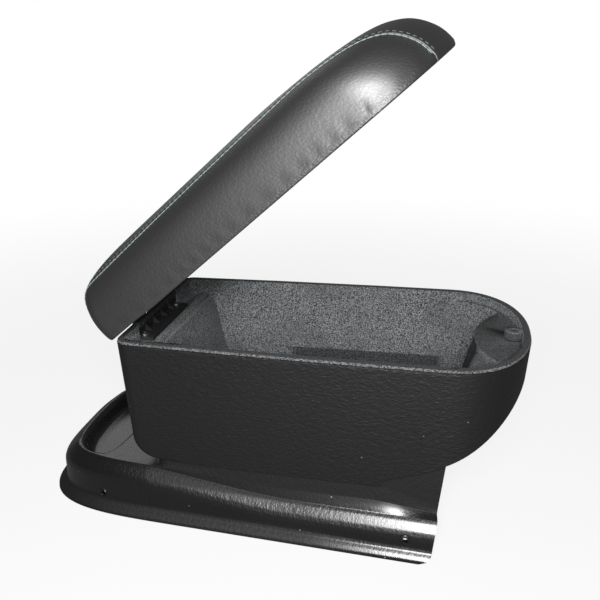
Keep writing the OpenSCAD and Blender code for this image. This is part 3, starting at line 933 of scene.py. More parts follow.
class LidCover:
    """Sewn three-panel cover of the lid, with its seam allowance, hem and stitches."""

    NEAR_SEAM = (0, 0.14, 0.4, 0.7, 1.05, 1.45, 1.9, 2.35, 2.8, 3.4, 4.2, 5.4, 7.2, 9.5, 12.5)
    STITCH_D = 2.3
    HANGS = 1.0
    PITCH = 4.0
    POINTS = 318
    MIDDLE = (150.0, 0.0, 5.0)
    EDGE_Z = 0.9
    DEEP = 11.0
    HEM = 7.0
    HEM_ROWS = (
        (0.04, 0.45, 0.35), (0.1, 0.18, 0.62), (0.2, 0.04, 0.8),
        (0.34, 0.0, 0.7), (0.6, 0.0, 0.2), (1, 0.0, 0.0),
    )
    FOLD_AT = (0, 0.14, 0.4, 0.7, 1.1, 1.6, 2.0, 2.3, 2.6, 3.1, 4.0, 5.4, 8, 12)
    FOLD_UP = (-1.1, -0.35, 0.02, 0.2, 0.33, 0.42, 0.3, 0.16, 0.28, 0.42, 0.36, 0.22, 0.06, 0)
    SIDE_UNIT = 60.0
    KNOCK_RUN = 279

    def __init__(self, sizes: Sizes, form: LidForm) -> None:
        """Keeps the sizes and the surface that the panels lie on."""
        self.s = sizes
        self.form = form
        self.seam: dict = {}

    def _rays(self) -> list:
        """Origins and directions that lead over the lid from the rear edge to the nose edge.

        Returns:
            Pairs of an x and an angle.
        """
        rays = []
        for a in np.linspace(200, 90, 46)[:-1]:
            rays.append((30.0, math.radians(a)))
        for x in np.arange(30, 238, 1.25):
            rays.append((float(x), math.pi / 2))
        for a in np.linspace(90, -11, 84):
            rays.append((238.0, math.radians(a)))
        return rays

    def _trace(self, shift: Callable, rays: list) -> np.ndarray:
        """Points of one line over the lid, from rear edge to nose edge.

        Args:
            shift: y as a function of x.
            rays: origins and directions.

        Returns:
            Points in lid millimetres.
        """
        line = []
        for x0, a in rays:
            x = x0
            for _ in range(4):
                y = shift(x)
                forward = math.cos(a) > 0
                low = self.form.hit((x0, y, self.EDGE_Z), (1 if forward else -1, 0, 0))
                turn = a
                if math.sin(a) < 0 and low is not None:
                    edge = math.atan2(self.EDGE_Z - self.DEEP, low.x - x0)
                    turn = max(a, edge) if forward else min(a % FULL_TURN, edge % FULL_TURN)
                found = self.form.hit((x0, y, self.DEEP), (math.cos(turn), 0, math.sin(turn)))
                if found is None:
                    break
                x = found.x
            if found is not None:
                line.append((found.x, found.y, max(found.z, 0.7)))
        return np.array(line)

    @staticmethod
    def _resample(line: np.ndarray, count: int) -> np.ndarray:
        """Evenly spaced points along a line.

        Args:
            line: points x, y, z.
            count: how many come back.

        Returns:
            The new points.
        """
        run = LidCover._run(line)
        target = np.linspace(0, run[-1], count)
        return np.stack([np.interp(target, run, line[:, k]) for k in range(3)], axis=1)

    def _normals(self, grid: np.ndarray) -> np.ndarray:
        """Unit normals of a grid, pointing away from the lid's middle.

        Args:
            grid: rows x columns x 3 points.

        Returns:
            Normals of the same shape.
        """
        du = np.gradient(grid, axis=0)
        dv = np.gradient(grid, axis=1)
        n = np.cross(du, dv)
        size = np.linalg.norm(n, axis=2, keepdims=True)
        n = n / np.maximum(size, 1e-9)
        sign = np.sign(np.sum(n * (grid - np.array(self.MIDDLE)), axis=2, keepdims=True))
        return n * np.where(np.median(sign) >= 0, 1.0, -1.0)

    @staticmethod
    def _swell(points: np.ndarray) -> np.ndarray:
        """Slow swell and dips of a padded surface, in millimetres.

        Args:
            points: points x, y, z.

        Returns:
            Heights of the surface.
        """
        x, y, z = points[..., 0], points[..., 1], points[..., 2]
        slow = np.sin(x * 0.043 + 0.8 * np.sin(y * 0.05)) * np.sin(y * 0.061 + z * 0.05 + 1.3)
        mid = np.sin(x * 0.11 + y * 0.04 + 0.7) * np.sin(y * 0.13 - x * 0.03 + z * 0.12)
        return 0.1 * slow + 0.03 * mid

    def _profile(self, d: np.ndarray, raised: float) -> np.ndarray:
        """Height of the leather at a distance from the joint."""
        return np.interp(d, self.FOLD_AT, [h * (raised if h > 0 else 1.0) for h in self.FOLD_UP])

    def _pull(self, d: np.ndarray, run: np.ndarray) -> np.ndarray:
        """Dimples that the thread pulls into the leather, one a stitch.

        Args:
            d: distance from the joint.
            run: way along the seam.

        Returns:
            Heights of the leather.
        """
        beats = 0.1 * np.cos(FULL_TURN * run / self.PITCH)
        return np.exp(-((d - self.STITCH_D) / 0.8) ** 2) * beats[:, None]

    @staticmethod
    def _run(line: np.ndarray) -> np.ndarray:
        """Way along a line at each of its points."""
        return np.concatenate([[0], np.cumsum(np.linalg.norm(np.diff(line, axis=0), axis=1))])

    def _hem(self, edge: np.ndarray, inward: np.ndarray, depth: np.ndarray) -> np.ndarray:
        """Rows that turn the cover under the lid.

        Args:
            edge: points of the lower edge.
            inward: unit directions towards the lid's middle.
            depth: how far the hem reaches in at each point.

        Returns:
            Six rows of points.
        """
        rows = []
        drop = 1.25 * smooth((edge[:, 0] - 22) / 30)
        for part, z, share in self.HEM_ROWS:
            step = np.minimum(part * self.HEM, depth * part if part > 0.5 else depth * 0.9)[:, None]
            row = edge + inward * step
            row[:, 2] = z - drop * share
            rows.append(row)
        return np.array(rows)

    def centre(self) -> bpy.types.Object:
        """Centre panel that wraps from the rear edge over the nose.

        Returns:
            The finished panel.
        """
        s = self.s
        near = list(self.NEAR_SEAM)
        across = near + list(np.linspace(near[-1], s.seam_half_w, 17)[1:-1])
        lines = []
        rays = self._rays()
        dist = []
        for d in across:
            def shift(x: float, d: float = d) -> float:
                """y of this line at x."""
                half = self.form.seam_y(x)
                if d <= near[-1]:
                    return half - d
                return half - near[-1] - (d - near[-1]) * (half - near[-1]) / (s.seam_half_w - near[-1])
            lines.append(self._resample(self._trace(shift, rays), self.POINTS))
            dist.append(d)
        lines.append(self._resample(self._trace(lambda x: 0.0, rays), self.POINTS))
        dist.append(s.seam_half_w)
        half = np.array(lines).transpose(1, 0, 2)
        far = half[:, :-1][:, ::-1] * np.array([1.0, -1.0, 1.0])
        grid = np.concatenate([half, far], axis=1)
        d = np.array(dist + dist[:-1][::-1])
        self.seam[1], self.seam[-1] = half[:, 0].copy(), half[:, 0] * np.array([1.0, -1.0, 1.0])
        run = self._run(half[:, 0])
        normal = self._normals(grid)
        lift = self._profile(d, 1.0)[None, :] + self._pull(d[None, :], run)
        ends = smooth(np.minimum(run, run[-1] - run) / 14)[:, None]
        grid = grid + normal * (lift + self._swell(grid) * smooth(d / 10)[None, :] * ends)[..., None]
        reach = np.where(np.abs(grid[0, :, 1]) < 41, 1.5, self.HEM)
        wide = grid.shape[1]
        rear = self._hem(grid[0], np.tile([1.0, 0, 0], (wide, 1)), reach)
        nose = self._hem(grid[-1], np.tile([-1.0, 0, 0], (wide, 1)), np.full(wide, self.HEM))
        whole = np.concatenate([rear[::-1], grid, nose])
        return self._finish("lid_cover_top", whole)

    def _finish(self, name: str, grid: np.ndarray) -> bpy.types.Object:
        """Turns a panel to the open lid, gives it its wall and keeps it clear of the liner when shut.

        Args:
            name: the panel's name.
            grid: points in lid millimetres.

        Returns:
            The finished panel.
        """
        flip = faces_in(grid, grid.shape[0] // 2, grid.shape[1] // 3, self.MIDDLE)
        piece = grid_object(name, self.form.place(grid), closed=False, flip=flip)
        with editing(piece) as form:
            bmesh.ops.remove_doubles(form, verts=form.verts, dist=0.00003)
            bmesh.ops.dissolve_degenerate(form, dist=0.00001, edges=form.edges)
        thicken(piece, self.s.cover_t * MM, even=False)
        s, a = self.s, math.radians(self.s.lid_angle)
        pin = Vector(to_row(np.array([s.pin_x, 0.0, s.pin_z]), s))
        up = Vector((-math.sin(a), 0.0, math.cos(a)))
        lowest = (s.lid_z - s.pin_z - self.HANGS) * MM
        for corner in piece.data.vertices:
            short = lowest - (corner.co - pin).dot(up)
            if short > 0:
                corner.co += up * short
        return soften(piece, 60)

    def _edge_path(self, side: int) -> np.ndarray:
        """Lower edge from the rear end of a seam round the side to its nose end.

        Args:
            side: -1 for the near side, 1 for the far one.

        Returns:
            Points x, y, z.
        """
        start, end = self.seam[side][0], self.seam[side][-1]
        mid_x = self.MIDDLE[0]
        ring = self.form.ring(self.EDGE_Z, 0.55, 0.55, 0.55)
        ring = ring[ring[:, 1] * side > 0]
        angle = np.arctan2(ring[:, 1] * side, ring[:, 0] - mid_x)
        ring = ring[np.argsort(-angle)]
        a0 = math.atan2(start[1] * side, start[0] - mid_x)
        a1 = math.atan2(end[1] * side, end[0] - mid_x)
        angle = np.sort(angle)[::-1]
        inside = ring[(angle < a0 - 0.004) & (angle > a1 + 0.004)]
        return np.concatenate([[start], inside, [end]])

    def side(self, side: int) -> bpy.types.Object:
        """Side panel between a seam and the lower edge.

        Args:
            side: -1 for the near panel, 1 for the far one.

        Returns:
            The finished panel.
        """
        seam = self.seam[side]
        count = len(seam)
        edge = self._resample(self._edge_path(side), count)
        near = np.array(self.NEAR_SEAM) / self.SIDE_UNIT
        share = np.concatenate([near, np.linspace(near[-1], 1.0, 30)[1:]])
        grid = np.zeros((count, len(share), 3))
        for j in range(count):
            top, low = seam[j], edge[j]
            x0 = min(max((top[0] + low[0]) / 2, 32.0), 236.0)
            origin = np.array([x0, side * min(34.0, abs(top[1]) * 0.62), 12.0])
            length = max(float(np.linalg.norm(low - top)), 1e-6)
            for k, t in enumerate(share):
                scale = self.SIDE_UNIT / max(length, 20.0)
                first = near[-1] * scale
                if t <= near[-1]:
                    part = t * scale
                else:
                    part = first + (1 - first) * (t - near[-1]) / (1 - near[-1])
                goal = top + (low - top) * min(part, 1.0)
                found = self.form.hit(origin, goal - origin)
                grid[j, k] = goal if found is None or k == 0 else np.array(found)
            grid[j, -1] = low
        gap = np.linalg.norm(np.diff(grid, axis=1), axis=2)
        d = np.concatenate([np.zeros((count, 1)), np.cumsum(gap, axis=1)], axis=1)
        run = self._run(seam)
        normal = self._normals(grid)
        lift = self._profile(d, 1.35) + self._pull(d, run)
        span = d[:, -1:]
        fade = smooth(np.minimum(run, run[-1] - run) / 20)[:, None]
        from_edge = span - d
        folds = np.sin(run * 0.42 + 1.6 * np.sin(run * 0.05))[:, None]
        pleat = 0.09 * folds * np.exp(-((from_edge - 3) / 6) ** 2)
        knock = -0.28 * np.exp(-((run[:, None] - self.KNOCK_RUN) / 2.0) ** 2 - ((from_edge - 3.5) / 4.5) ** 2)
        waves = (self._swell(grid) + pleat + knock) * smooth(d / 10) * smooth(from_edge / 3) * fade
        scale = smooth(span / 12)
        grid = grid + normal * ((lift * (0.35 + 0.65 * scale) + waves * scale) * (from_edge > 0.01))[..., None]
        grid[:, 0] = seam + normal[:, 0] * (self._profile(np.array([0.0]), 1.0)[0])
        out = grid[:, -1] - np.array([self.MIDDLE[0], 0.0, 0.0])
        tangent = np.gradient(grid[:, -1], axis=0)
        inward = np.stack([-tangent[:, 1], tangent[:, 0], np.zeros(count)], axis=1)
        inward /= np.maximum(np.linalg.norm(inward, axis=1, keepdims=True), 1e-9)
        inward *= -np.sign(np.sum(inward * out, axis=1, keepdims=True))
        hem = self._hem(grid[:, -1], inward, np.full(count, self.HEM)).transpose(1, 0, 2)
        whole = np.concatenate([grid, hem], axis=1)
        name = "lid_cover_near" if side < 0 else "lid_cover_far"
        return self._finish(name, whole)

    def stitch_path(self, side: int, inner: bool) -> np.ndarray:
        """Line of a stitch row on the outer face.

        Args:
            side: -1 for the near seam, 1 for the far one.
            inner: on the centre panel instead of the side panel.

        Returns:
            Points in lid millimetres just above the leather.
        """
        seam = self.seam[side]
        lines = []
        step = self.STITCH_D * (1 if inner else -1)
        for j in range(3, len(seam) - 5):
            p = seam[j]
            tangent = seam[min(j + 3, len(seam) - 1)] - seam[max(j - 3, 0)]
            tangent /= np.linalg.norm(tangent)
            core = np.array([min(max(p[0], 40), 230), side * 20.0, 6.0])
            up = p - core
            up -= tangent * np.dot(up, tangent)
            up /= np.linalg.norm(up)
            aside = np.cross(tangent, up) * -side
            found = self.form.hit(core, p - aside * step - core)
            if found is None:
                continue
            lines.append(np.array(found) + up * (0.36 if inner else 0.62))
        row = np.array(lines)
        for _ in range(6):
            row[1:-1] = (row[:-2] + 2 * row[1:-1] + row[2:]) / 4
        return self._resample(row, len(row))


class StitchRow:
    """Thread of a seam, laid as one instance a stitch by a Geometry Nodes tree."""

    def __init__(self, finish: bpy.types.Material) -> None:
        """Builds the tree once for all rows."""
        self.finish = finish
        self.tree = self._tree()

    def _tree(self) -> bpy.types.NodeTree:
        """Tree that resamples a curve at the stitch pitch and sets a stitch on each point.

        Returns:
            The node tree.
        """
        tree = bpy.data.node_groups.new("stitch_row", "GeometryNodeTree")
        face = tree.interface
        face.new_socket("Geometry", in_out="INPUT", socket_type="NodeSocketGeometry")
        for name, value in (("Pitch", 0.004), ("Length", 0.0029), ("Radius", 0.00042)):
            socket = face.new_socket(name, in_out="INPUT", socket_type="NodeSocketFloat")
            socket.default_value = value
        face.new_socket("Geometry", in_out="OUTPUT", socket_type="NodeSocketGeometry")
        graph = Graph(tree)
        start = graph.node("NodeGroupInput", {}, {})
        names = ("Geometry", "Pitch", "Length", "Radius")
        line, pitch, length, radius = (Signal(graph, start.outputs[name]) for name in names)
        spaced = graph.add("GeometryNodeResampleCurve", {"mode": "LENGTH"}, {"Curve": line, "Length": pitch})
        ball = graph.add("GeometryNodeMeshUVSphere", {}, {"Segments": 8, "Rings": 7, "Radius": radius})
        long = graph.add("ShaderNodeCombineXYZ", {}, {0: 1.0, 1: 1.0, 2: length / (radius * 2.0)})
        along = graph.add("GeometryNodeInputTangent", {}, {})
        turn = graph.add("FunctionNodeAlignRotationToVector", {"axis": "Z"}, {"Vector": along})
        inputs = {"Points": spaced, "Instance": ball, "Rotation": turn, "Scale": long}
        laid = graph.add("GeometryNodeInstanceOnPoints", {}, inputs)
        real = graph.add("GeometryNodeRealizeInstances", {}, {0: laid})
        soft = graph.add("GeometryNodeSetShadeSmooth", {}, {0: real})
        done = graph.add("GeometryNodeSetMaterial", {}, {"Geometry": soft, "Material": self.finish})
        graph.node("NodeGroupOutput", {}, {"Geometry": done})
        return tree

    def lay(self, name: str, points: np.ndarray, pitch: float, length: float, radius: float) -> bpy.types.Object:
        """Lays one row of thread.

        Args:
            name: the piece's name.
            points: the row's line in row metres.
            pitch: distance between stitches in metres.
            length: length of one stitch in metres.
            radius: half thickness of the thread in metres.

        Returns:
            A mesh object with its place in its mesh.
        """
        curve = bpy.data.curves.new(name + "_line", "CURVE")
        curve.dimensions = "3D"
        spline = curve.splines.new("POLY")
        spline.points.add(len(points) - 1)
        for knot, p in zip(spline.points, points):
            knot.co = (*p, 1.0)
        line = linked(name + "_line", curve)
        step = line.modifiers.new("stitches", "NODES")
        step.node_group = self.tree
        wanted = {"Pitch": pitch, "Length": length, "Radius": radius}
        for item in self.tree.interface.items_tree:
            if item.item_type == "SOCKET" and item.in_out == "INPUT" and item.name in wanted:
                step[item.identifier] = wanted[item.name]
        graph = bpy.context.evaluated_depsgraph_get()
        mesh = bpy.data.meshes.new_from_object(line.evaluated_get(graph))
        mesh.name = name
        bpy.data.objects.remove(line)
        return linked(name, mesh)


class Signal:
    """A value on its way through a node tree, so that sums on it are written as sums."""

    def __init__(self, graph: "Graph", socket: bpy.types.NodeSocket) -> None:
        """Wraps an output socket."""
        self.graph = graph
        self.socket = socket

    def _join(self, operation: str, left: Number, right: Number) -> "Signal":
        """Adds a Math node."""
        return self.graph.add("ShaderNodeMath", {"operation": operation}, {0: left, 1: right})

    def __add__(self, other: Number) -> "Signal":
        """Sum."""
        return self._join("ADD", self, other)

    __radd__ = __add__

    def __mul__(self, other: Number) -> "Signal":
        """Product."""
        return self._join("MULTIPLY", self, other)

    __rmul__ = __mul__

    def __sub__(self, other: Number) -> "Signal":
        """Difference."""
        return self._join("SUBTRACT", self, other)

    def __rsub__(self, other: Number) -> "Signal":
        """Difference from a number."""
        return self._join("SUBTRACT", other, self)

    def __truediv__(self, other: Number) -> "Signal":
        """Quotient."""
        return self._join("DIVIDE", self, other)

    def __rtruediv__(self, other: Number) -> "Signal":
        """Quotient of a number."""
        return self._join("DIVIDE", other, self)

    def clipped(self) -> "Signal":
        """Kept between 0 and 1."""
        low = self._join("MAXIMUM", self, 0.0)
        return low._join("MINIMUM", low, 1.0)

    def between(self, low: float, high: float) -> "Signal":
        """Smooth step that is 0 at low and 1 at high."""
        inputs = {"Value": self, "From Min": low, "From Max": high}
        return self.graph.add("ShaderNodeMapRange", {"interpolation_type": "SMOOTHSTEP"}, inputs, "Result")

    def band(self, start: Sequence[float], end: Sequence[float]) -> "Signal":
        """1 from start to end, each a soft step given by its two places, and 0 outside."""
        return self.between(*start) * (1 - self.between(*end))


class Graph:
    """A node tree that gets every node in one way."""

    def __init__(self, tree: bpy.types.NodeTree) -> None:
        """Starts with the tree bare."""
        self.tree = tree
        tree.nodes.clear()

    def feed(self, socket: bpy.types.NodeSocket, value: Union[Signal, float, Sequence[float], bpy.types.ID]) -> None:
        """Links a Signal to a socket, or sets its own value."""
        if isinstance(value, Signal):
            self.tree.links.new(value.socket, socket)
        else:
            socket.default_value = value

    def node(self, kind: str, settings: dict, inputs: dict) -> bpy.types.Node:
        """Adds a node.

        Args:
            kind: the node's type.
            settings: its settings, set first.
            inputs: numbers, colours or Signals of its sockets.

        Returns:
            The node.
        """
        node = self.tree.nodes.new(kind)
        for key, value in settings.items():
            setattr(node, key, value)
        for key, value in inputs.items():
            self.feed(node.inputs[key], value)
        return node

    def add(self, kind: str, settings: dict, inputs: dict, output: Union[int, str] = 0) -> Signal:
        """Adds a node as node() does and gives one of its outputs.

        Args:
            kind: the node's type.
            settings: its settings, set first.
            inputs: numbers, colours or Signals of its sockets.
            output: the socket that comes back.

        Returns:
            The chosen output.
        """
        return Signal(self, self.node(kind, settings, inputs).outputs[output])


class Paint(Graph):
    """One material in the making."""

    def __init__(self, name: str) -> None:
        """Starts a material with a Principled shader and Object coordinates."""
        self.material = bpy.data.materials.new(name)
        self.material.use_nodes = True
        super().__init__(self.material.node_tree)
        self.shader = self.node("ShaderNodeBsdfPrincipled", {}, {})
        self.out = self.node("ShaderNodeOutputMaterial", {}, {0: Signal(self, self.shader.outputs[0])})
        self.coords = self.add("ShaderNodeTexCoord", {}, {}, "Object")

    def part(self, axis: str) -> Signal:
        """One of the Object coordinates."""
        return self.add("ShaderNodeSeparateXYZ", {}, {0: self.coords}, axis)

    def dust(self, scale: float, small: float, large: float) -> Signal:
        """Specks, as many a metre as scale says, that fade out from the small to the large radius."""
        return 1 - self.cells(scale, "F1").between(small, large)

    def noise(self, scale: float, detail: float = 2.0, roughness: float = 0.5, at: Optional[Signal] = None) -> Signal:
        """Noise at a scale in cells a metre."""
        inputs = {"Vector": at or self.coords, "Scale": scale, "Detail": detail, "Roughness": roughness}
        return self.add("ShaderNodeTexNoise", {}, inputs, 0)

    def cells(self, scale: float, feature: str = "SMOOTH_F1", at: Optional[Signal] = None) -> Signal:
        """Distance in a cell pattern at a scale in cells a metre."""
        inputs = {"Vector": at or self.coords, "Scale": scale}
        return self.add("ShaderNodeTexVoronoi", {"feature": feature}, inputs, "Distance")

    def stretched(self, scale: Sequence[float], turn: float = 0.0) -> Signal:
        """Object coordinates stretched along the axes and turned about Y."""
        inputs = {"Vector": self.coords, "Scale": scale, "Rotation": (0, turn, 0)}
        return self.add("ShaderNodeMapping", {}, inputs, 0)

    def warped(self, by: float, scale: float, base: Optional[Signal] = None) -> Signal:
        """Coordinates pushed about by noise, so that cells look grown."""
        push = self.add("ShaderNodeTexNoise", {}, {"Vector": self.coords, "Scale": scale, "Detail": 2.0}, "Color")
        scaled = self.add("ShaderNodeVectorMath", {"operation": "SCALE"}, {0: push, "Scale": by}, 0)
        return self.add("ShaderNodeVectorMath", {"operation": "ADD"}, {0: base or self.coords, 1: scaled}, 0)

    def mix(self, share: Number, low: Union[Signal, Sequence[float]], high: Union[Signal, Sequence[float]]) -> Signal:
        """Mix of two colours.

        Args:
            share: part of the second colour.
            low: first colour.
            high: second colour.

        Returns:
            The mixed colour.
        """
        def full(c: Union[Signal, Sequence[float]]) -> Union[Signal, Sequence[float]]:
            """Colour with its alpha."""
            return c if isinstance(c, Signal) else (*c, 1.0)
        return self.add("ShaderNodeMix", {"data_type": "RGBA"}, {0: share, 6: full(low), 7: full(high)}, 2)

    def height(self, *wanted: Sequence) -> None:
        """Feeds the normal with one Bump node for each pair of a height and its depth in metres."""
        normal: Optional[Signal] = None
        for signal, depth in wanted:
            inputs = {"Height": signal, "Distance": depth, "Strength": 1.0}
            if normal is not None:
                inputs["Normal"] = normal
            normal = self.add("ShaderNodeBump", {}, inputs, 0)
        self.set(Normal=normal)

    def set(self, **values: Union[float, Signal, Sequence[float]]) -> None:
        """Sets sockets of the shader by name, with _ for a space."""
        for key, value in values.items():
            self.feed(self.shader.inputs[key.replace("_", " ")], value)


def grey(value: float, warm: float = 0.0) -> tuple:
    """Near-neutral colour of a linear brightness, warmer or cooler by a share."""
    return (value * (1 + warm), value, value * (1 - warm))


@dataclass(frozen=True)
class CoverLeather:
    """Satin leather with round pebbles and fine creases."""

    sizes: Sizes
    tone: float = 0.007
    roughness: float = 0.46
    pebble: float = 700.0
    depth: float = 0.0002

    def swell(self, p: "Paint") -> "Signal":
        """Height of the stuffing that fills the lower part of a side out, over the lid's own plane.

        Args:
            p: the material in the making.

        Returns:
            The height in metres.
        """
        s = self.sizes
        a = math.radians(s.lid_angle)
        x, z = p.part("X"), p.part("Z")
        up = (z - s.pin_z * MM) * math.cos(a) - (x - (s.pin_x - s.mid_x) * MM) * math.sin(a)
        below = ((s.lid_z - s.pin_z + 32) * MM - up).clipped()
        return below * below * 7.8

    def make(self, name: str) -> bpy.types.Material:
        """Builds the material."""
        p = Paint(name)
        at = p.warped(0.0011, 300, p.stretched((0.75, 1.25, 1.1), 0.3))
        cells = p.cells(self.pebble, at=at)
        fine = p.cells(self.pebble * 2.3, at=at)
        folds = p.noise(95, 3.0, 0.55)
        broad = p.noise(9, 2.0)
        pores = p.noise(2600, 2.0)
        base = p.mix(cells.between(0.15, 0.75), grey(self.tone * 1.08, 0.02), grey(self.tone * 0.82, 0.02))
        tone = p.mix(broad.between(0.35, 0.7), base, grey(self.tone * 1.16, 0.04))
        dust = p.dust(62.0, 0.022, 0.034)
        p.set(
            Base_Color=p.mix(dust * 0.55, tone, grey(0.3, -0.01)),
            Roughness=(self.roughness + cells * 0.08 + pores * 0.04 - broad * 0.04).clipped(),
            Specular_IOR_Level=1.0, IOR=1.62, Coat_Weight=1.0, Coat_Roughness=0.46, Coat_IOR=1.85,
        )
        p.height(
            (self.swell(p), 1.0), (folds, 0.00008), (1 - cells, self.depth),
            (1 - fine, self.depth * 0.32), (pores, 0.00003),
        )
        return p.material


@dataclass(frozen=True)
class SkinGrain:
    """Fine wrinkled grain of the skin on the storage box."""

    tone: float = 0.005
    roughness: float = 0.44
    grain: float = 700.0
    depth: float = 0.00021

    def make(self, name: str) -> bpy.types.Material:
        """Builds the material."""
        p = Paint(name)
        slant = p.stretched((0.72, 1.0, 1.35), 0.35)
        at = p.warped(0.0008, 420, slant)
        cells = p.cells(self.grain, at=at)
        creases = p.cells(self.grain * 0.45, at=at)
        broad = p.noise(14, 3.0)
        pores = p.noise(3200, 1.0)
        tone = p.mix(cells.between(0.1, 0.8), grey(self.tone * 1.12), grey(self.tone * 0.8))
        tone = p.mix(broad.between(0.3, 0.75), tone, grey(self.tone * 1.18, 0.02))
        dust = p.dust(58.0, 0.024, 0.036)
        p.set(
            Base_Color=p.mix(dust * 0.6, tone, grey(0.33)),
            Roughness=(self.roughness + cells * 0.14 - broad * 0.08).clipped(),
            Specular_IOR_Level=0.9,
        )
        p.height((1 - creases, self.depth * 1.1), (1 - cells, self.depth), (pores, 0.00002))
        return p.material


@dataclass(frozen=True)
class FormedPlastic:
    """Semi-gloss formed plastic with a leather grain, scratches and dust."""

    tone: float = 0.0035
    roughness: float = 0.27
    grain: float = 640.0
    depth: float = 0.00016

    def make(self, name: str) -> bpy.types.Material:
        """Builds the material."""
        p = Paint(name)
        slant = p.stretched((1.3, 1.0, 0.75), 0.5)
        at = p.warped(0.0010, 380, slant)
        cells = p.cells(self.grain, at=at)
        creases = p.cells(self.grain * 0.5, at=at)
        broad = p.noise(11, 3.0)
        along = p.stretched((6.0, 6.0, 110.0), 0.62)
        lines = p.noise(9.0, 4.0, 0.6, along)
        worn = p.noise(22, 3.0)
        scratch = lines.between(0.70, 0.735) * worn.between(0.56, 0.66)
        dust = p.dust(48.0, 0.024, 0.034)
        x, y, z = p.part("X"), p.part("Y"), p.part("Z")
        foot = (1 - (y * y).between(0.0765**2, 0.0795**2)) * x.between(-0.096, -0.08)
        edge = (1 - z.between(0.009, 0.014)) * (1 - x.between(0.03, 0.1))
        dull = (foot + edge).clipped()
        tone = p.mix(cells.between(0.1, 0.8), grey(self.tone * 1.2, 0.02), grey(self.tone * 0.8, 0.02))
        tone = p.mix(broad.between(0.35, 0.7) * 0.5, tone, grey(self.tone * 1.7, 0.05))
        tone = p.mix(scratch * 0.5, tone, grey(0.13))
        p.set(
            Base_Color=p.mix(dust * 0.6, tone, grey(0.4)),
            Roughness=(self.roughness + cells * 0.16 + scratch * 0.2 + broad * 0.05 + dull * 0.3).clipped(),
            Specular_IOR_Level=0.6, Coat_Weight=(1 - dull * 0.9).clipped(), Coat_Roughness=0.24,
        )
        p.height((1 - creases, self.depth * 1.15), (1 - cells, self.depth), (scratch, -0.00008))
        return p.material


@dataclass(frozen=True)
class Flock:
    """Short dense nylon flock with lighter and darker tufts, with painted shade on the rim top, the platform top, the
    low far wall and the boss's side, and a black painted shadow beside the front post.
    """

    tone: float = 0.125
    boss_x: float = 0.1814

    def make(self, name: str) -> bpy.types.Material:
        """Builds the material."""
        p = Paint(name)
        tufts = p.noise(900, 3.0, 0.75)
        fibres = p.noise(2100, 3.0, 0.7)
        brushed = p.noise(26, 3.0, 0.55)
        dots = p.cells(900, "F1")
        x, y, z = p.part("X"), p.part("Y"), p.part("Z")
        # Painted shade: the rim's top is darkened, standing for the dark line between its lit edges.
        rim = z.between(0.1504, 0.1508) * 0.75
        # Painted shade: the platform's top is darkened.
        platform_top_painted_shade = x.between(0.139, 0.141) * z.band((0.1422, 0.1427), (0.1434, 0.1442)) * 0.55
        # Painted shade: the far wall is darkened below a height over part of its length, standing for the shaded
        # opening of a recess in the floor that the form does not have.
        low_wall = (1 - z.between(0.0915, 0.0925)) * y.between(0.03, 0.034)
        recess_painted_shade = low_wall * x.band((-0.01, 0.002), (0.126, 0.134)) * 0.7
        # Painted shade: the side of the boss round the screw hole is darkened.
        near_boss = 1 - ((x - self.boss_x) * (x - self.boss_x) + y * y).between(0.0070**2, 0.0075**2)
        boss_side_painted_shade = near_boss * z.band((0.1425, 0.143), (0.1488, 0.1493)) * 0.6
        # Painted shadow: a black strip on the wall beside the front post, where the post's shadow falls; the form has
        # no slot there.
        slot = x.between(0.1425, 0.1445) * y.band((-0.02, -0.012), (0.04, 0.055)) * (1 - z.between(0.1412, 0.1426))
        share = (tufts * 0.55 + fibres * 0.45).between(0.44, 0.58)
        tone = p.mix(share, grey(self.tone * 0.15, -0.05), grey(self.tone * 2.4, -0.03))
        tone = p.mix(dots.between(0.2, 0.08), tone, grey(0.55, -0.01))
        tone = p.mix(brushed.between(0.4, 0.7) * 0.4, tone, grey(self.tone * 0.6, -0.05))
        # Painted shade on the rim top, platform top, low far wall and boss side.
        tone = p.mix((rim + platform_top_painted_shade + recess_painted_shade + boss_side_painted_shade).clipped(), tone, grey(self.tone * 0.16, -0.05))
        # Painted shadow beside the front post, in black.
        tone = p.mix(slot, tone, grey(0.001))
        p.set(Base_Color=tone, Roughness=0.95, Specular_IOR_Level=0.05, Sheen_Weight=0.06, Sheen_Roughness=0.5)
        p.height((tufts, 0.0004), (fibres, 0.0002))
        return p.material


@dataclass(frozen=True)
class MouldedPlastic:
    """Black moulded plastic of the hinge, pan and board."""

    tone: float = 0.022
    roughness: float = 0.42

    def make(self, name: str) -> bpy.types.Material:
        """Builds the material."""
        p = Paint(name)
        spark = p.noise(1500, 2.0)
        broad = p.noise(40, 3.0)
        tone = p.mix(broad.between(0.35, 0.7), grey(self.tone), grey(self.tone * 1.5, -0.02))
        p.set(Base_Color=tone, Roughness=(self.roughness + spark * 0.12).clipped(), Specular_IOR_Level=0.5)
        p.height((spark, 0.00004), (broad, 0.00008))
        return p.material


@dataclass(frozen=True)
class PlatedSteel:
    """Zinc-plated or plain steel with fine marks."""

    tone: float = 0.55
    roughness: float = 0.28

    def make(self, name: str) -> bpy.types.Material:
        """Builds the material."""
        p = Paint(name)
        marks = p.noise(900, 3.0, 0.6, p.stretched((1.0, 1.0, 0.1)))
        bloom = p.noise(120, 3.0)
        tone = p.mix(bloom.between(0.35, 0.7), grey(self.tone, 0.02), grey(self.tone * 0.72, 0.04))
        p.set(Base_Color=tone, Metallic=1.0, Roughness=(self.roughness + marks * 0.2).clipped())
        p.height((marks, 0.00002))
        return p.material


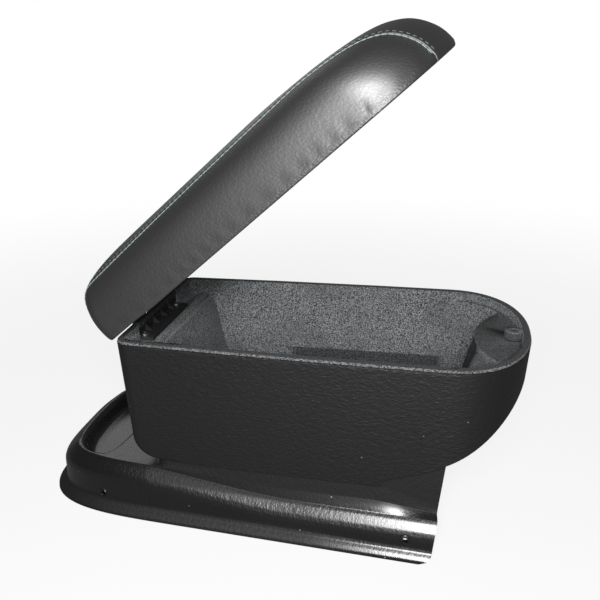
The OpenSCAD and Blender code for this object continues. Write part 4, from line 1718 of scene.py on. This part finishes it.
@dataclass(frozen=True)
class CutFoam:
    """Open-celled foam under the cover."""

    def make(self, name: str) -> bpy.types.Material:
        """Builds the material."""
        p = Paint(name)
        pores = p.cells(1400)
        broad = p.noise(30, 3.0)
        tone = p.mix(pores.between(0.2, 0.7), (0.62, 0.55, 0.34), (0.42, 0.36, 0.2))
        tone = p.mix(broad.between(0.3, 0.7) * 0.3, tone, (0.5, 0.42, 0.22))
        p.set(Base_Color=tone, Roughness=0.9)
        p.height((pores, 0.0004))
        return p.material


@dataclass(frozen=True)
class Thread:
    """Pale twisted sewing thread."""

    tone: float = 0.3

    def make(self, name: str) -> bpy.types.Material:
        """Builds the material."""
        p = Paint(name)
        twist = p.noise(2400, 2.0, 0.6, p.stretched((1.0, 0.5, 1.6), 0.6))
        low, high = (self.tone * k for k in (0.7, 1.15))
        tone = p.mix(twist.between(0.35, 0.65), (low * 0.8, low, low * 0.95), (high * 0.8, high, high * 0.95))
        p.set(Base_Color=tone, Roughness=0.6, Sheen_Weight=0.2)
        p.height((twist, 0.00012))
        return p.material


class Studio:
    """Floor, light and camera."""

    FLOOR_HALF = 6.0
    LENS, SENSOR = 41.0, 36.0
    SHIFT = (-0.0178, 0.116)
    CAMERA_AT = (0.1201, -0.4919, 0.3468)
    LOOK = (-0.1683, 0.8836, -0.4369)
    ROLL = -0.005

    def __init__(self, low: Vector, high: Vector) -> None:
        """Keeps the box of the object."""
        self.low, self.high = low, high

    def floor(self) -> None:
        """White floor that keeps the object's shadow."""
        mesh = bpy.data.meshes.new("studio_floor")
        r, z = self.FLOOR_HALF, self.low.z - 0.0002
        mesh.from_pydata([(-r, -r, z), (r, -r, z), (r, r, z), (-r, r, z)], [], [(0, 1, 2, 3)])
        floor = linked("studio_floor", mesh)
        p = Paint("floor_white")
        rays = p.node("ShaderNodeLightPath", {}, {})
        eye, gloss, through = (Signal(p, rays.outputs[f"Is {k} Ray"]) for k in ("Camera", "Glossy", "Transmission"))
        far = p.add("ShaderNodeVectorMath", {"operation": "LENGTH"}, {0: p.coords}, "Value").between(0.3, 1.3)
        p.set(Base_Color=p.mix(eye, grey(0.1), grey(0.8)), Roughness=0.9, Specular_IOR_Level=0.0)
        share = (eye * (0.84 + far * 0.16) + (gloss + through) * 0.05).clipped()
        glow = p.add("ShaderNodeEmission", {}, {"Strength": 1.0})
        lit = Signal(p, p.shader.outputs[0])
        p.feed(p.out.inputs[0], p.add("ShaderNodeMixShader", {}, {0: share, 1: lit, 2: glow}))
        mesh.materials.append(p.material)
        floor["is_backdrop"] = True

    def world(self) -> None:
        """Soft even light from all round, white where the camera looks past the floor."""
        world = bpy.data.worlds.new("studio_world")
        bpy.context.scene.world = world
        world.use_nodes = True
        graph = Graph(world.node_tree)
        soft = {"Color": (0.95, 0.97, 1.0, 1.0), "Strength": 0.07}
        light = graph.add("ShaderNodeBackground", {}, soft)
        white = graph.add("ShaderNodeBackground", {}, {"Color": (1.0, 1.0, 1.0, 1.0)})
        eye = graph.add("ShaderNodeLightPath", {}, {}, "Is Camera Ray")
        mixed = graph.add("ShaderNodeMixShader", {}, {0: eye, 1: light, 2: white})
        graph.node("ShaderNodeOutputWorld", {}, {0: mixed})

    def lamp(self, name: str, place: Sequence[float], size: float, power: float) -> None:
        """Square soft lamp that looks at the object.

        Args:
            name: the lamp's name.
            place: its place in metres.
            size: edge length in metres.
            power: its power in watts.
        """
        data = bpy.data.lights.new(name, "AREA")
        data.size = size
        data.energy = power
        lamp = linked(name, data)
        lamp.location = place
        aim = (self.low + self.high) / 2 - Vector(place)
        lamp.rotation_mode = "QUATERNION"
        lamp.rotation_quaternion = aim.to_track_quat("-Z", "Y")

    def camera(self) -> None:
        """Camera at the photograph's place, turn and lens."""
        data = bpy.data.cameras.new("camera")
        data.lens, data.sensor_width = self.LENS, self.SENSOR
        data.shift_x, data.shift_y = self.SHIFT
        data.clip_start, data.clip_end = 0.02, 30.0
        cam = linked("camera", data)
        look = Vector(self.LOOK).normalized()
        level = look.cross(Vector((0, 0, 1))).normalized()
        rise = level.cross(look)
        c, s = math.cos(self.ROLL), math.sin(self.ROLL)
        turn = Matrix((level * c + rise * s, rise * c - level * s, -look)).transposed().to_4x4()
        cam.matrix_world = Matrix.Translation(self.CAMERA_AT) @ turn
        bpy.context.scene.camera = cam

    def build(self) -> None:
        """Sets the whole studio."""
        self.floor()
        self.world()
        self.lamp("key_lamp", (0.14, -0.66, 0.49), 0.28, 8.0)
        self.lamp("back_lamp", (-0.75, 0.95, 0.85), 0.7, 1.2)
        self.camera()
        bpy.context.scene.view_settings.view_transform = "Standard"


@dataclass
class Armrest:
    """The whole part: takes the loaded frame, builds the pieces and dresses them."""

    sizes: Sizes = field(default_factory=Sizes)
    finishes: dict = field(default_factory=dict)

    def finish(self, slot: Slot) -> bpy.types.Material:
        """The material of a slot, made once.

        Args:
            slot: the slot.

        Returns:
            The material.
        """
        makers = {
            Slot.SADDLE: FormedPlastic(), Slot.SKIN: SkinGrain(), Slot.FLOCK: Flock(),
            Slot.PLASTIC: MouldedPlastic(), Slot.PLATE: PlatedSteel(0.45, 0.4),
            Slot.PIN: PlatedSteel(0.5, 0.25), Slot.ZINC: PlatedSteel(),
            Slot.BOARD: MouldedPlastic(0.05, 0.7), Slot.FOAM: CutFoam(), Slot.LEATHER: CoverLeather(self.sizes),
        }
        if slot not in self.finishes:
            self.finishes[slot] = makers[slot].make(slot.value)
        return self.finishes[slot]

    def keep(self, piece: bpy.types.Object, body: Body, slot: Slot, nodes: Sequence[str] = ()) -> None:
        """Paints a new piece, ties it to its body and hides the nodes it stands for.

        Args:
            piece: the new piece.
            body: the body it rides on.
            slot: its material slot.
            nodes: CAD nodes that it replaces.
        """
        if not piece.data.materials:
            piece.data.materials.append(self.finish(slot))
        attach(piece, body.value)
        if nodes:
            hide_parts(*nodes)
        LOG.info("%s: %d faces on %s", piece.name, len(piece.data.polygons), body.value)

    def dress_frame(self, frame: dict) -> None:
        """Gives every CAD node the material of its slot.

        Args:
            frame: the loaded frame.
        """
        wanted = {row["node"]: row["material_slot"] for row in frame["record"]["subparts"]}
        for name, node in frame["nodes"].items():
            slot = Slot(wanted[name])
            node.data.materials.clear()
            node.data.materials.append(self.finish(slot))

    def build(self, frame: dict) -> None:
        """Builds all pieces around the frame.

        Args:
            frame: the loaded frame.
        """
        s = self.sizes
        form = BoxForm(s)
        self.dress_frame(frame)
        self.keep(Saddle(s, form).build(), Body.CONSOLE, Slot.SADDLE, ["console_saddle"])
        store = StorageBox(s, form)
        self.keep(store.skin(), Body.CONSOLE, Slot.SKIN, ["box_shell"])
        self.keep(store.liner(frame["nodes"]["flocked_liner"]), Body.CONSOLE, Slot.FLOCK, ["flocked_liner"])
        lid = LidForm(s, form)
        cover = LidCover(s, lid)
        panels = (
            (cover.centre(), "lid_top_panel"), (cover.side(-1), "lid_side_panel_near"),
            (cover.side(1), "lid_side_panel_far"),
        )
        for piece, node in panels:
            self.keep(piece, Body.LID, Slot.LEATHER, [node])
        # One thread in two tones: the lower rows' lighter tone is a painted highlight, the upper rows' darker tone is
        # painted shade.
        thread_painted_highlight = StitchRow(Thread(0.3).make("seam_thread_painted_highlight"))
        thread_painted_shade = StitchRow(Thread(0.13).make("seam_thread_painted_shade"))
        for side, word in ((-1, "near"), (1, "far")):
            for row, thread, length, radius in (("upper", thread_painted_shade, 0.0027, 0.00036), ("lower", thread_painted_highlight, 0.0043, 0.0005)):
                line = lid.place(cover.stitch_path(side, inner=row == "upper"))
                stitches = thread.lay(f"stitches_{word}_{row}", line, LidCover.PITCH * MM, length, radius)
                self.keep(stitches, Body.LID, Slot.LEATHER)


def main() -> None:
    """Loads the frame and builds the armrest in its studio."""
    logging.basicConfig(level=logging.INFO, format="%(name)s %(message)s")
    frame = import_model()
    cad_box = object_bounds()
    Armrest().build(frame)
    Studio(*cad_box).build()


if __name__ == "__main__":
    main()
